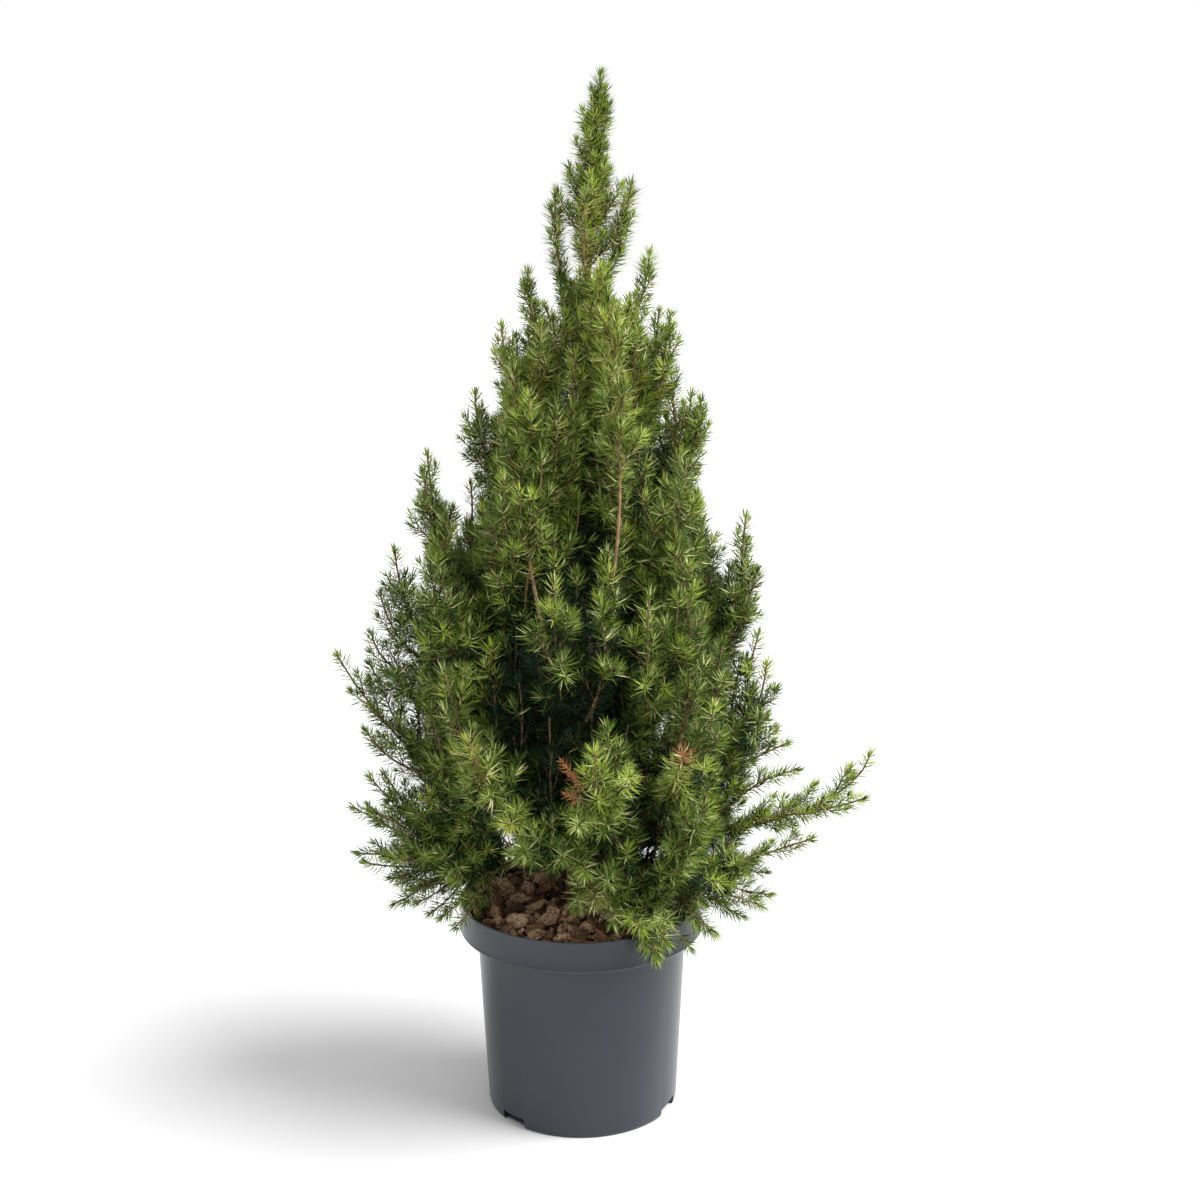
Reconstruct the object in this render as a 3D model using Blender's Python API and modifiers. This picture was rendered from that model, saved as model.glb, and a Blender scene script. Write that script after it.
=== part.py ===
"""A young Alberta spruce in its round plastic nursery pot, about one metre tall.

The pot stands on z = 0 with its axis on z. The front of the plant faces -Y. Bearings are
degrees round z from +X, so the front is -90. Every limb follows one rule: it leaves the trunk
level, then turns up into a plume. A plume is a winged stem with toothed sprays of needles.
"""

import math

import bmesh
import bpy
import numpy as np
from mathutils import Quaternion, Vector
from mathutils.geometry import interpolate_bezier

# Metres throughout.
CLEARANCE = 0.0003

# Pot: outer radii and heights, wall and drain slots.
POT_HEIGHT = 0.2152
BASE_RADIUS = 0.0941
SHOULDER_RADIUS = 0.1035
RIM_RADIUS = 0.1200
RIM_UNDERSIDE = 0.1835
RIM_ROUNDING = 0.0015
WALL = 0.0021
FLOOR = 0.0030
POT_STEPS = 36
SLOT_BEARINGS = (-136.0, -25.0, 100.0)
SLOT_WIDTH = 0.030
SLOT_DEPTH = 0.0060
SLOT_HEIGHT = 0.0100

# Soil with a cover of bark lumps.
SOIL_HEIGHT = 0.2060
SOIL_SEAT = 0.2080
SOIL_SEAT_RADIUS = 0.0210
SOIL_ROUGHNESS = 0.0016
SOIL_RINGS = (0.104, 0.084, 0.062, 0.040)
SOIL_STEPS = POT_STEPS // 2
LUMP_COUNT = 14
LUMP_SIZE = (0.0110, 0.0180)
LUMP_STRETCH = 0.5
LUMP_FLATNESS = 0.55
LUMP_TILT = 0.9
LUMP_LIFT = 0.0006
LUMP_SEED = 11

# Trunk: foot on the soil, lean to the right near the tip, root flare.
TRUNK_FOOT = SOIL_SEAT + CLEARANCE
TRUNK_TOP = 0.900
APEX = 1.010
TRUNK_RADIUS = 0.0105
TRUNK_TIP_RADIUS = 0.0022
TRUNK_LEAN = (0.0240, 0.0040)
LEAN_POWER = 3.0
FLARE = 0.62
FLARE_HEIGHT = 0.022
FLARE_LOBES = 4
FLARE_TURN = 0.7
FLARE_SHARES = (0.6, 0.8)
TAPER_POWER = 0.9
TRUNK_SIDES = 12
TRUNK_RINGS = 12
RING_CROWDING = 2.2

# Limbs: the line's two handles as shares of the reach and of the lift, foot radius for each
# metre of length, tip radius, and where the bough ends.
FIRST_HANDLE = (0.52, 0.10)
SECOND_HANDLE = (0.96, 0.42)
LIMB_TAPER = 0.0100
LIMB_FOOT_RADIUS = 0.0012
LIMB_TIP_RADIUS = 0.0011
BOUGH_SHARE = 0.24
LIMB_STEPS = 28
BOUGH_RINGS = 4
FOOT_STAGGER = 0.011
FOOT_CORNERS = 8
FOOT_SEARCH_STEP = 0.00005

# Tiers of plumes from the top down: name, whether they have a bough of their own, tip height,
# reach of the tip from the trunk's line, foot height on the trunk, half width of the mass,
# radius of its core, and the bearings of the plumes.
TIERS = (
    ("top", False, 0.893, 0.034, 0.800, 0.028, 0.011, (5, 172, -100)),
    ("upper", False, 0.836, 0.056, 0.720, 0.039, 0.017, (180, -78, 2, 98)),
    ("neck", False, 0.790, 0.080, 0.650, 0.046, 0.022, (-164, -16, 60)),
    ("shoulder", False, 0.725, 0.102, 0.560, 0.053, 0.027, (178, -118, -70, 6, 122)),
    ("waist", False, 0.655, 0.130, 0.460, 0.060, 0.032, (-168, -122, -44, 36, 92)),
    ("middle", True, 0.565, 0.158, 0.365, 0.065, 0.036, (178, -142, -98, -56, 0, 132)),
    ("lower", True, 0.447, 0.188, 0.290, 0.067, 0.038, (-120, -82, -50, -2, 66)),
)
TIP_SWAY = 0.012

# Plumes whose tips stand out of their tier: tip height and reach.
STANDOUTS = {
    "top_1": (0.907, 0.035),
    "waist_1": (0.648, 0.150),
    "middle_1": (0.566, 0.178),
    "lower_4": (0.455, 0.180),
}

# The leader above the trunk's tip: half width and core radius.
LEADER_SIZES = (0.026, 0.009)
LEADER_STEPS = 8
LEADER_FOOT = TRUNK_TOP + 1.5 * CLEARANCE

# Low boughs, each with its own habit: name, bearing, reach, tip height, foot height, half width
# and core radius.
LOW_BOUGHS = (
    ("left_arm", 179, 0.236, 0.463, 0.285, 0.058, 0.023),
    ("left_skirt", -172, 0.212, 0.262, 0.248, 0.064, 0.028),
    ("front_skirt", -104, 0.204, 0.340, 0.248, 0.064, 0.034),
    ("hanging_tuft", -61, 0.150, 0.206, 0.236, 0.040, 0.014),
    ("right_arm", -3, 0.282, 0.366, 0.264, 0.060, 0.017),
    ("right_skirt", -20, 0.186, 0.226, 0.243, 0.056, 0.023),
    ("back_skirt", 104, 0.205, 0.285, 0.256, 0.066, 0.034),
)

# Crown's outline: height and radius from the trunk's line. Only a stem's nearest sprays pass it.
CROWN = ((0.19, 0.165), (0.24, 0.220), (0.34, 0.232), (0.47, 0.210), (0.60, 0.172),
         (0.72, 0.122), (0.80, 0.094), (0.86, 0.064), (0.93, 0.046), (1.02, 0.022))
ARM_WIDTH = 0.022

# Core along a stem: a bare foot, a swelling that fills the mass's own room, and a toothed tip.
CORE_SIDES = 5
CORE_BARE = 0.008
CORE_BARE_SHARE = 0.2
CORE_RINGS = 3
CORE_FIRST_RING = 0.7
CORE_SWELL = (0.12, 0.72)
CORE_TWIST = 17.0
TIP_LENGTH = 0.062
TIP_SHARE = 0.45
TIP_RINGS = 3
TIP_TAPER = 1.7
TIP_TOOTH = 0.27
TIP_NOTCH = 0.12
CORE_SHRINKS = (1.0, 0.86, 0.72, 0.58, 0.44, 0.30, 0.18)
CORE_SAMPLES = (0.35, 0.6, 0.85, 1.0)

# Sprays of needles that stand out of the core; the first four are shares of the half width.
# A blade widens from its root and narrows to its tip.
SPRAY_LENGTH = 1.85
SPRAY_LEAST = 0.62
SPRAY_TOOTH = 0.32
SPRAY_NOTCH = 0.16
SPRAY_ROOT_FULLNESS = 0.45
SPRAY_ROOT_TAPER = 2.2
SPRAY_TIP_TAPER = 2.6
SPRAY_HALF_THICKNESS = 0.0020
SPRAY_NECK = 0.0016
SPRAY_TIP = 0.0005
SPRAY_STATIONS = 4
SPRAY_ANGLE = 46.0
SPRAY_RISE = 0.18
SPRAY_STEP = 0.0125
SPRAY_SPACING = 0.028
SPRAY_LEAD = 0.004
SPRAY_FEWEST = 3
SPRAY_MOST = 5
SPRAY_FULL_WIDTH = 0.060
SPRAY_SHRINKS = (1.0, 0.85, 0.7, 0.55, 0.42)
SPRAY_FIRST = 0.05
SPRAY_LAST = 0.86
SPRAY_TURN = 51.0
SPRAY_ROLL = 67.0
GOLDEN_ANGLE = 137.508

# Room that a mass keeps from its neighbours' space, from limbs and from the pot.
SPACE_MARGIN = 0.0020
LIMB_MARGIN = 0.0015
POT_MARGIN = 0.0040
STEM_SAMPLES = 22

UP = Vector((0.0, 0.0, 1.0))


def clear_scene():
    for thing in list(bpy.data.objects):
        bpy.data.objects.remove(thing, do_unlink=True)


def new_collection(name):
    group = bpy.data.collections.new(name)
    bpy.context.scene.collection.children.link(group)
    return group


def plain_material(name, colour, roughness):
    material = bpy.data.materials.new(name)
    material.use_nodes = True
    shader = material.node_tree.nodes["Principled BSDF"]
    shader.inputs["Base Color"].default_value = (*colour, 1.0)
    shader.inputs["Roughness"].default_value = roughness
    shader.inputs["Metallic"].default_value = 0.0
    return material


def pot_material(name):
    return plain_material(name, (0.060, 0.068, 0.080), 0.42)


def soil_material(name):
    return plain_material(name, (0.120, 0.070, 0.042), 0.95)


def bark_material(name):
    return plain_material(name, (0.210, 0.125, 0.075), 0.85)


def needle_material(name):
    return plain_material(name, (0.060, 0.125, 0.030), 0.60)


def add_object(name, mesh, group, material):
    thing = bpy.data.objects.new(name, mesh)
    group.objects.link(thing)
    if material is not None:
        mesh.materials.clear()
        mesh.materials.append(material)
    return thing


def bearing_vector(degrees):
    angle = math.radians(degrees)
    return Vector((math.cos(angle), math.sin(angle), 0.0))


# ---------------------------------------------------------------- turned pieces

def turned(name, profile, steps, group, material):
    """Spin a profile of (radius, height) points, listed down the outer side, round z."""
    mesh = bpy.data.meshes.new(name)
    edges = [(i, i + 1) for i in range(len(profile) - 1)]
    mesh.from_pydata([(radius, 0.0, height) for radius, height in profile], edges, [])
    thing = add_object(name, mesh, group, material)
    screw = thing.modifiers.new("turn", "SCREW")
    screw.axis = "Z"
    screw.steps = steps
    screw.render_steps = steps
    screw.use_merge_vertices = True
    screw.merge_threshold = 0.00001
    return thing


def applied(thing):
    """Replace the object's mesh by its evaluated one, and drop its modifiers."""
    graph = bpy.context.evaluated_depsgraph_get()
    mesh = bpy.data.meshes.new_from_object(thing.evaluated_get(graph))
    thing.modifiers.clear()
    thing.data = mesh
    return thing


def round_shading(thing, degrees=35.0):
    thing.data.shade_smooth()
    thing.data.set_sharp_from_angle(angle=math.radians(degrees))


def pot_profile():
    inner_rim = RIM_RADIUS - WALL
    inner_shoulder = SHOULDER_RADIUS - WALL
    inner_base = BASE_RADIUS - WALL
    return [
        (0.0, FLOOR),
        (inner_base, FLOOR),
        (inner_shoulder, RIM_UNDERSIDE + WALL),
        (inner_rim, RIM_UNDERSIDE + WALL),
        (inner_rim, POT_HEIGHT - RIM_ROUNDING),
        (RIM_RADIUS - WALL / 2, POT_HEIGHT),
        (RIM_RADIUS, POT_HEIGHT - RIM_ROUNDING),
        (RIM_RADIUS, RIM_UNDERSIDE + RIM_ROUNDING),
        (RIM_RADIUS - RIM_ROUNDING, RIM_UNDERSIDE),
        (SHOULDER_RADIUS, RIM_UNDERSIDE),
        (BASE_RADIUS, 0.0),
        (0.0, 0.0),
    ]


def slot_cutter(index, bearing, group):
    """A box through the wall's foot and the edge of the floor, where water drains."""
    mesh = bpy.data.meshes.new("slot")
    cage = bmesh.new()
    bmesh.ops.create_cube(cage, size=1.0)
    bmesh.ops.scale(cage, vec=(4 * SLOT_DEPTH, SLOT_WIDTH, 2 * SLOT_HEIGHT), verts=cage.verts)
    cage.to_mesh(mesh)
    cage.free()
    cutter = add_object(f"slot_{index}", mesh, group, None)
    cutter.location = bearing_vector(bearing) * (BASE_RADIUS + SLOT_DEPTH)
    cutter.rotation_euler.z = math.radians(bearing)
    cutter.hide_render = True
    cutter.display_type = "WIRE"
    return cutter


def make_pot(group, cutters):
    pot = turned("pot", pot_profile(), POT_STEPS, group, pot_material("pot plastic"))
    for index, bearing in enumerate(SLOT_BEARINGS, start=1):
        cut = pot.modifiers.new(f"drain slot {index}", "BOOLEAN")
        cut.operation = "DIFFERENCE"
        cut.object = slot_cutter(index, bearing, cutters)
    applied(pot)
    round_shading(pot)


def soil_profile():
    rim = RIM_RADIUS - WALL - CLEARANCE
    shoulder = SHOULDER_RADIUS - WALL - CLEARANCE
    base = BASE_RADIUS - WALL - CLEARANCE
    bottom = FLOOR + CLEARANCE
    ledge = RIM_UNDERSIDE + WALL + CLEARANCE
    top = [(0.0, SOIL_SEAT), (SOIL_SEAT_RADIUS, SOIL_SEAT)]
    top += [(radius, SOIL_HEIGHT) for radius in reversed(SOIL_RINGS)]
    return top + [(rim, SOIL_HEIGHT), (rim, ledge), (shoulder, ledge), (base, bottom), (0.0, bottom)]


def bark_lump(size, place, random_numbers):
    """A chip of bark: a squashed ball of few faces, turned any way."""
    cage = bmesh.new()
    bmesh.ops.create_icosphere(cage, subdivisions=1, radius=size / 2)
    for corner in cage.verts:
        corner.co.x *= 1.0 + LUMP_STRETCH * random_numbers.random()
        corner.co.z *= LUMP_FLATNESS
    axis = Vector(random_numbers.normal(size=3)).normalized()
    turn = Quaternion(axis, random_numbers.uniform(0.0, LUMP_TILT))
    spin = Quaternion(UP, random_numbers.uniform(0.0, math.tau))
    for corner in cage.verts:
        corner.co = turn @ (spin @ corner.co) + place
    mesh = bpy.data.meshes.new("lump")
    cage.to_mesh(mesh)
    cage.free()
    return mesh


def make_soil(group):
    random_numbers = np.random.default_rng(LUMP_SEED)
    soil = turned("soil", soil_profile(), SOIL_STEPS, group, soil_material("bark mulch"))
    applied(soil)
    edge = RIM_RADIUS - 2 * WALL
    for vertex in soil.data.vertices:
        radius = math.hypot(vertex.co.x, vertex.co.y)
        between = SOIL_SEAT_RADIUS + CLEARANCE < radius < edge
        if between and vertex.co.z > SOIL_HEIGHT - CLEARANCE:
            vertex.co.z += random_numbers.uniform(-SOIL_ROUGHNESS, SOIL_ROUGHNESS)
    lumps = []
    for index in range(LUMP_COUNT):
        size = random_numbers.uniform(*LUMP_SIZE)
        radius = random_numbers.uniform(SOIL_SEAT_RADIUS + size, edge - size)
        place = bearing_vector(index * GOLDEN_ANGLE) * radius + UP * (SOIL_HEIGHT + LUMP_LIFT)
        lumps.append(bark_lump(size, place, random_numbers))
    fuse(soil, lumps)
    round_shading(soil)


# ---------------------------------------------------------------- fusing

def islands(cage):
    """The groups of faces that hang together."""
    left = set(cage.faces)
    found = []
    while left:
        stack = [left.pop()]
        group = list(stack)
        while stack:
            for edge in stack.pop().edges:
                for face in edge.link_faces:
                    if face in left:
                        left.remove(face)
                        stack.append(face)
                        group.append(face)
        found.append(group)
    return found


def signed_volume(faces):
    total = 0.0
    for face in faces:
        corners = [vertex.co for vertex in face.verts]
        for second, third in zip(corners[1:], corners[2:]):
            total += corners[0].dot(second.cross(third)) / 6.0
    return total


def keep_outer_body(mesh):
    """Drop loose scraps and sealed hollows, so that one closed body is left."""
    cage = bmesh.new()
    cage.from_mesh(mesh)
    groups = sorted(islands(cage), key=signed_volume)
    spare = [face for group in groups[:-1] for face in group]
    bmesh.ops.delete(cage, geom=spare, context="FACES")
    bmesh.ops.delete(cage, geom=[v for v in cage.verts if not v.link_faces], context="VERTS")
    bmesh.ops.triangulate(cage, faces=cage.faces)
    cage.to_mesh(mesh)
    cage.free()


def fuse(thing, meshes):
    """One union of the object with all the meshes, applied."""
    operands = bpy.data.collections.new("operands")
    bpy.context.scene.collection.children.link(operands)
    for index, mesh in enumerate(meshes):
        add_object(f"operand_{index}", mesh, operands, None)
    union = thing.modifiers.new("union", "BOOLEAN")
    union.operation = "UNION"
    union.solver = "MANIFOLD"
    union.operand_type = "COLLECTION"
    union.collection = operands
    applied(thing)
    for operand in list(operands.objects):
        bpy.data.objects.remove(operand, do_unlink=True)
    bpy.data.collections.remove(operands)
    keep_outer_body(thing.data)


# ---------------------------------------------------------------- lofts

def lofted(name, rings):
    """A closed skin over rings of equal length, each listed anticlockwise seen from its tip side."""
    count = len(rings[0])
    vertices = [point for ring in rings for point in ring]
    faces = [tuple(reversed(range(count)))]
    for start in range(0, count * (len(rings) - 1), count):
        for side in range(count):
            after = (side + 1) % count
            faces.append((start + side, start + after, start + count + after, start + count + side))
    faces.append(tuple(range(len(vertices) - count, len(vertices))))
    mesh = bpy.data.meshes.new(name)
    mesh.from_pydata(vertices, [], faces)
    return with_triangles(mesh)


def with_triangles(mesh):
    cage = bmesh.new()
    cage.from_mesh(mesh)
    bmesh.ops.triangulate(cage, faces=cage.faces)
    cage.to_mesh(mesh)
    cage.free()
    return mesh


def frame_across(direction, roll=0.0):
    """Two unit vectors square to a direction, turned about it by roll degrees."""
    aside = direction.cross(UP)
    if aside.length < 0.05:
        aside = direction.cross(Vector((0.0, 1.0, 0.0)))
    aside = Quaternion(direction, math.radians(roll)) @ aside.normalized()
    return aside, direction.cross(aside)


# ---------------------------------------------------------------- lines of growth

def trunk_point(height):
    share = max(0.0, (height - TRUNK_FOOT) / (APEX - TRUNK_FOOT))
    bend = share ** LEAN_POWER
    return Vector((TRUNK_LEAN[0] * bend, TRUNK_LEAN[1] * bend, height))


def trunk_radius(height, angle=0.0):
    """Taper, and the lobed swelling of the root flare."""
    share = (height - TRUNK_FOOT) / (TRUNK_TOP - TRUNK_FOOT)
    taper = TRUNK_RADIUS + (TRUNK_TIP_RADIUS - TRUNK_RADIUS) * share ** TAPER_POWER
    swell = FLARE * math.exp(-(height - TRUNK_FOOT) / FLARE_HEIGHT)
    lobes = (1.0 + math.cos(FLARE_LOBES * angle + FLARE_TURN)) / 2
    return taper * (1.0 + swell * (FLARE_SHARES[0] + FLARE_SHARES[1] * lobes))


def crown_radius(height):
    return float(np.interp(height, *zip(*CROWN)))


def limb_line(bearing, reach, tip_height, foot_height):
    """Level out of the trunk, then turning up to the tip."""
    outward = bearing_vector(bearing)
    foot = trunk_point(foot_height)
    tip = trunk_point(tip_height) + outward * reach
    lift = tip_height - foot_height
    first = foot + outward * (FIRST_HANDLE[0] * reach) + UP * (FIRST_HANDLE[1] * lift)
    second = foot + outward * (SECOND_HANDLE[0] * reach) + UP * (SECOND_HANDLE[1] * lift)
    return interpolate_bezier(foot, first, second, tip, LIMB_STEPS)


def line_lengths(line):
    lengths = [0.0]
    for before, after in zip(line, line[1:]):
        lengths.append(lengths[-1] + (after - before).length)
    return lengths


def along(line, distance):
    """The point and the direction at a distance along a line."""
    lengths = line_lengths(line)
    distance = min(max(distance, 0.0), lengths[-1])
    for index in range(len(line) - 1):
        if distance <= lengths[index + 1]:
            break
    step = line[index + 1] - line[index]
    share = (distance - lengths[index]) / step.length
    return line[index] + step * share, step.normalized()


def part_of_line(line, start, end, count):
    return [along(line, start + (end - start) * step / (count - 1))[0] for step in range(count)]


class Limb:
    """One line of growth from the trunk to a plume's tip."""

    def __init__(self, name, line, own_bough, half_width, core_radius, carries_on=False):
        """carries_on is for the leader, which starts at the trunk's tip and not at its side."""
        self.name = name
        self.line = line
        self.own_bough = own_bough
        self.half_width = half_width
        self.core_radius = core_radius
        self.length = line_lengths(line)[-1]
        self.foot_radius = TRUNK_TIP_RADIUS if carries_on else LIMB_FOOT_RADIUS + LIMB_TAPER * self.length
        self.foot = 0.0 if carries_on else self.distance_clear_of_trunk()
        self.bough_end = self.foot + BOUGH_SHARE * self.length if own_bough else self.foot
        self.stem_start = self.bough_end + (CLEARANCE if own_bough else 0.0)

    def distance_clear_of_trunk(self):
        """How far along the line the limb's foot just clears the trunk's surface."""
        distance = TRUNK_RADIUS / 4
        while self.gap_to_trunk(distance) < CLEARANCE:
            distance += FOOT_SEARCH_STEP
        return distance

    def gap_to_trunk(self, distance):
        """The least gap between the trunk and the edge of the limb's end face at a distance."""
        place, direction = along(self.line, distance)
        aside, over = frame_across(direction)
        gaps = []
        for corner in range(FOOT_CORNERS):
            angle = math.tau * corner / FOOT_CORNERS
            edge = place + (aside * math.cos(angle) + over * math.sin(angle)) * self.foot_radius
            away = edge - trunk_point(edge.z)
            gaps.append(away.length - trunk_radius(edge.z, math.atan2(away.y, away.x)))
        return min(gaps)

    def radius(self, distance):
        share = distance / self.length
        return self.foot_radius + (LIMB_TIP_RADIUS - self.foot_radius) * share


def leader_line():
    """The trunk's own line, carried on from its tip to the apex."""
    step_height = (APEX - LEADER_FOOT) / LEADER_STEPS
    return [trunk_point(LEADER_FOOT + step_height * step) for step in range(LEADER_STEPS + 1)]


def all_limbs():
    limbs = [Limb("leader", leader_line(), False, *LEADER_SIZES, carries_on=True)]
    for tier, own_bough, tip_height, reach, foot_height, half_width, core_radius, bearings in TIERS:
        for index, bearing in enumerate(bearings, start=1):
            name = f"{tier}_{index}"
            sway = TIP_SWAY * math.cos(index * math.radians(GOLDEN_ANGLE))
            stagger = FOOT_STAGGER * (1 if index % 2 else -1)
            tip, out = STANDOUTS.get(name, (tip_height + sway, reach))
            line = limb_line(bearing, out, tip, foot_height + stagger)
            limbs.append(Limb(name, line, own_bough, half_width, core_radius))
    for name, bearing, reach, tip_height, foot_height, half_width, core_radius in LOW_BOUGHS:
        line = limb_line(bearing, reach, tip_height, foot_height)
        limbs.append(Limb(name, line, True, half_width, core_radius))
    return limbs


# ---------------------------------------------------------------- trunk and boughs

def make_trunk(group):
    rings = []
    for ring in range(TRUNK_RINGS + 1):
        share = (ring / TRUNK_RINGS) ** RING_CROWDING
        height = TRUNK_FOOT + (TRUNK_TOP - TRUNK_FOOT) * share
        points = []
        for side in range(TRUNK_SIDES):
            angle = math.tau * side / TRUNK_SIDES
            ray = Vector((math.cos(angle), math.sin(angle), 0.0))
            points.append(trunk_point(height) + ray * trunk_radius(height, angle))
        rings.append(points)
    trunk = add_object("trunk", lofted("trunk", rings), group, bark_material("trunk bark"))
    round_shading(trunk, 50.0)


def make_bough(limb, group):
    """One tapering tube from the trunk's surface to where the foliage begins."""
    curve = bpy.data.curves.new(limb.name, "CURVE")
    curve.dimensions = "3D"
    curve.bevel_depth = 1.0
    curve.bevel_resolution = 1
    curve.use_fill_caps = True
    spline = curve.splines.new("POLY")
    spline.points.add(BOUGH_RINGS - 1)
    for index in range(BOUGH_RINGS):
        distance = limb.foot + (limb.bough_end - limb.foot) * index / (BOUGH_RINGS - 1)
        place = along(limb.line, distance)[0]
        spline.points[index].co = (*place, 1.0)
        spline.points[index].radius = limb.radius(distance)
    rod = bpy.data.objects.new(f"bough_{limb.name}", curve)
    group.objects.link(rod)
    graph = bpy.context.evaluated_depsgraph_get()
    mesh = bpy.data.meshes.new_from_object(rod.evaluated_get(graph))
    bpy.data.objects.remove(rod, do_unlink=True)
    cage = bmesh.new()
    cage.from_mesh(mesh)
    bmesh.ops.remove_doubles(cage, verts=cage.verts, dist=0.000001)
    bmesh.ops.recalc_face_normals(cage, faces=cage.faces)
    cage.to_mesh(mesh)
    cage.free()
    bough = add_object(f"bough_{limb.name}", mesh, group, bark_material("bough bark"))
    round_shading(bough, 60.0)


# ---------------------------------------------------------------- the space of each mass

class Space:
    """Tells whether points keep to one mass's own room."""

    def __init__(self, limbs):
        self.stems = []
        self.woods = []
        for limb in limbs:
            self.stems.append(np.array(part_of_line(limb.line, limb.stem_start, limb.length, STEM_SAMPLES)))
            if limb.own_bough:
                line = part_of_line(limb.line, 0.0, limb.bough_end, STEM_SAMPLES)
                radii = [limb.radius(limb.bough_end * i / (STEM_SAMPLES - 1)) for i in range(STEM_SAMPLES)]
                self.woods.append((np.array(line), np.array(radii)))
        heights = np.linspace(TRUNK_FOOT, TRUNK_TOP, 4 * STEM_SAMPLES)
        trunk = np.array([trunk_point(height) for height in heights])
        self.woods.append((trunk, np.array([trunk_radius(height) for height in heights])))

    def holds(self, points, own, half_width):
        for point in np.array(points):
            distances = [float(np.min(np.linalg.norm(stem - point, axis=1))) for stem in self.stems]
            mine = distances.pop(own)
            if mine > half_width or mine + SPACE_MARGIN > min(distances):
                return False
            if mine > ARM_WIDTH and (Vector(point) - trunk_point(point[2])).length > crown_radius(point[2]):
                return False
            for line, radii in self.woods:
                if np.min(np.linalg.norm(line - point, axis=1) - radii) < LIMB_MARGIN:
                    return False
            over_pot = math.hypot(point[0], point[1]) < RIM_RADIUS + POT_MARGIN
            if over_pot and point[2] < POT_HEIGHT + POT_MARGIN:
                return False
        return True


# ---------------------------------------------------------------- foliage

def ray_at(across, turn):
    return across[0] * math.cos(turn) + across[1] * math.sin(turn)


def core_ring(limb, own, space, distance, wanted, twist):
    """A ring round the stem whose corners reach the wanted radii, or less where room is short."""
    place, direction = along(limb.line, distance)
    across = frame_across(direction, twist)
    least = limb.radius(distance)
    points = []
    for corner in range(CORE_SIDES):
        turn = math.tau * corner / CORE_SIDES
        rays = [ray_at(across, turn + side * math.pi / CORE_SIDES) for side in (-1, 0, 1)]
        radius = least
        for shrink in CORE_SHRINKS:
            reach = wanted[corner] * shrink
            if reach <= least:
                break
            samples = [place + ray * (reach * share) for ray in rays for share in CORE_SAMPLES]
            if space.holds(samples, own, limb.half_width):
                radius = reach
                break
        points.append(place + rays[1] * radius)
    return points


def core_mesh(limb, own, space):
    """The stem, bare at its foot, then swelling into the core, then a toothed tip."""
    start = limb.stem_start
    covered = limb.length - start
    tip = min(TIP_LENGTH, TIP_SHARE * covered)
    bare = min(CORE_BARE, CORE_BARE_SHARE * covered)
    stem = [0.0] * CORE_SIDES
    rings = [core_ring(limb, own, space, start + rise, stem, 0.0) for rise in (0.0, bare)]
    for step in range(CORE_RINGS):
        share = (step + CORE_FIRST_RING) / CORE_RINGS
        distance = start + bare + (covered - tip - bare) * share
        swell = math.sin(math.pi * (CORE_SWELL[0] + CORE_SWELL[1] * share))
        wanted = [limb.core_radius * swell] * CORE_SIDES
        rings.append(core_ring(limb, own, space, distance, wanted, CORE_TWIST * (step + 1)))
    for step in range(TIP_RINGS):
        share = step / TIP_RINGS
        taper = min(1.0, TIP_TAPER * (1.0 - share)) * limb.half_width
        teeth = [taper * (TIP_TOOTH if (corner + step) % 2 else TIP_NOTCH) for corner in range(CORE_SIDES)]
        distance = limb.length - tip * (1.0 - share)
        rings.append(core_ring(limb, own, space, distance, teeth, CORE_TWIST * (CORE_RINGS + step)))
    rings.append(core_ring(limb, own, space, limb.length, stem, 0.0))
    return lofted(limb.name, rings)


def blade_ring(place, across, left, right, thick):
    """Four points: the two edges of a blade and the two faces of its spine."""
    aside, over = across
    return [place + aside * left, place + over * thick, place - aside * right, place - over * thick]


def spray_rings(root, direction, length, roll, half_width):
    """A blade with a raised spine; a tooth on one edge faces a notch on the other."""
    across = frame_across(direction, roll)
    rings = [blade_ring(root, across, SPRAY_NECK, SPRAY_NECK, SPRAY_NECK)]
    for station in range(1, SPRAY_STATIONS):
        share = station / SPRAY_STATIONS
        rising = min(1.0, SPRAY_ROOT_FULLNESS + SPRAY_ROOT_TAPER * share)
        fullness = half_width * rising * min(1.0, SPRAY_TIP_TAPER * (1.0 - share))
        widths = [SPRAY_TOOTH * fullness, SPRAY_NOTCH * fullness]
        if station % 2:
            widths.reverse()
        place = root + direction * (length * share)
        rings.append(blade_ring(place, across, *widths, SPRAY_HALF_THICKNESS))
    rings.append(blade_ring(root + direction * length, across, SPRAY_TIP, SPRAY_TIP, SPRAY_TIP))
    return rings


def spray_direction(limb, distance, turn):
    forward = along(limb.line, distance)[1]
    ray = ray_at(frame_across(forward), turn)
    tilt = math.radians(SPRAY_ANGLE)
    return (forward * math.cos(tilt) + ray * math.sin(tilt) + UP * SPRAY_RISE).normalized()


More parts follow.
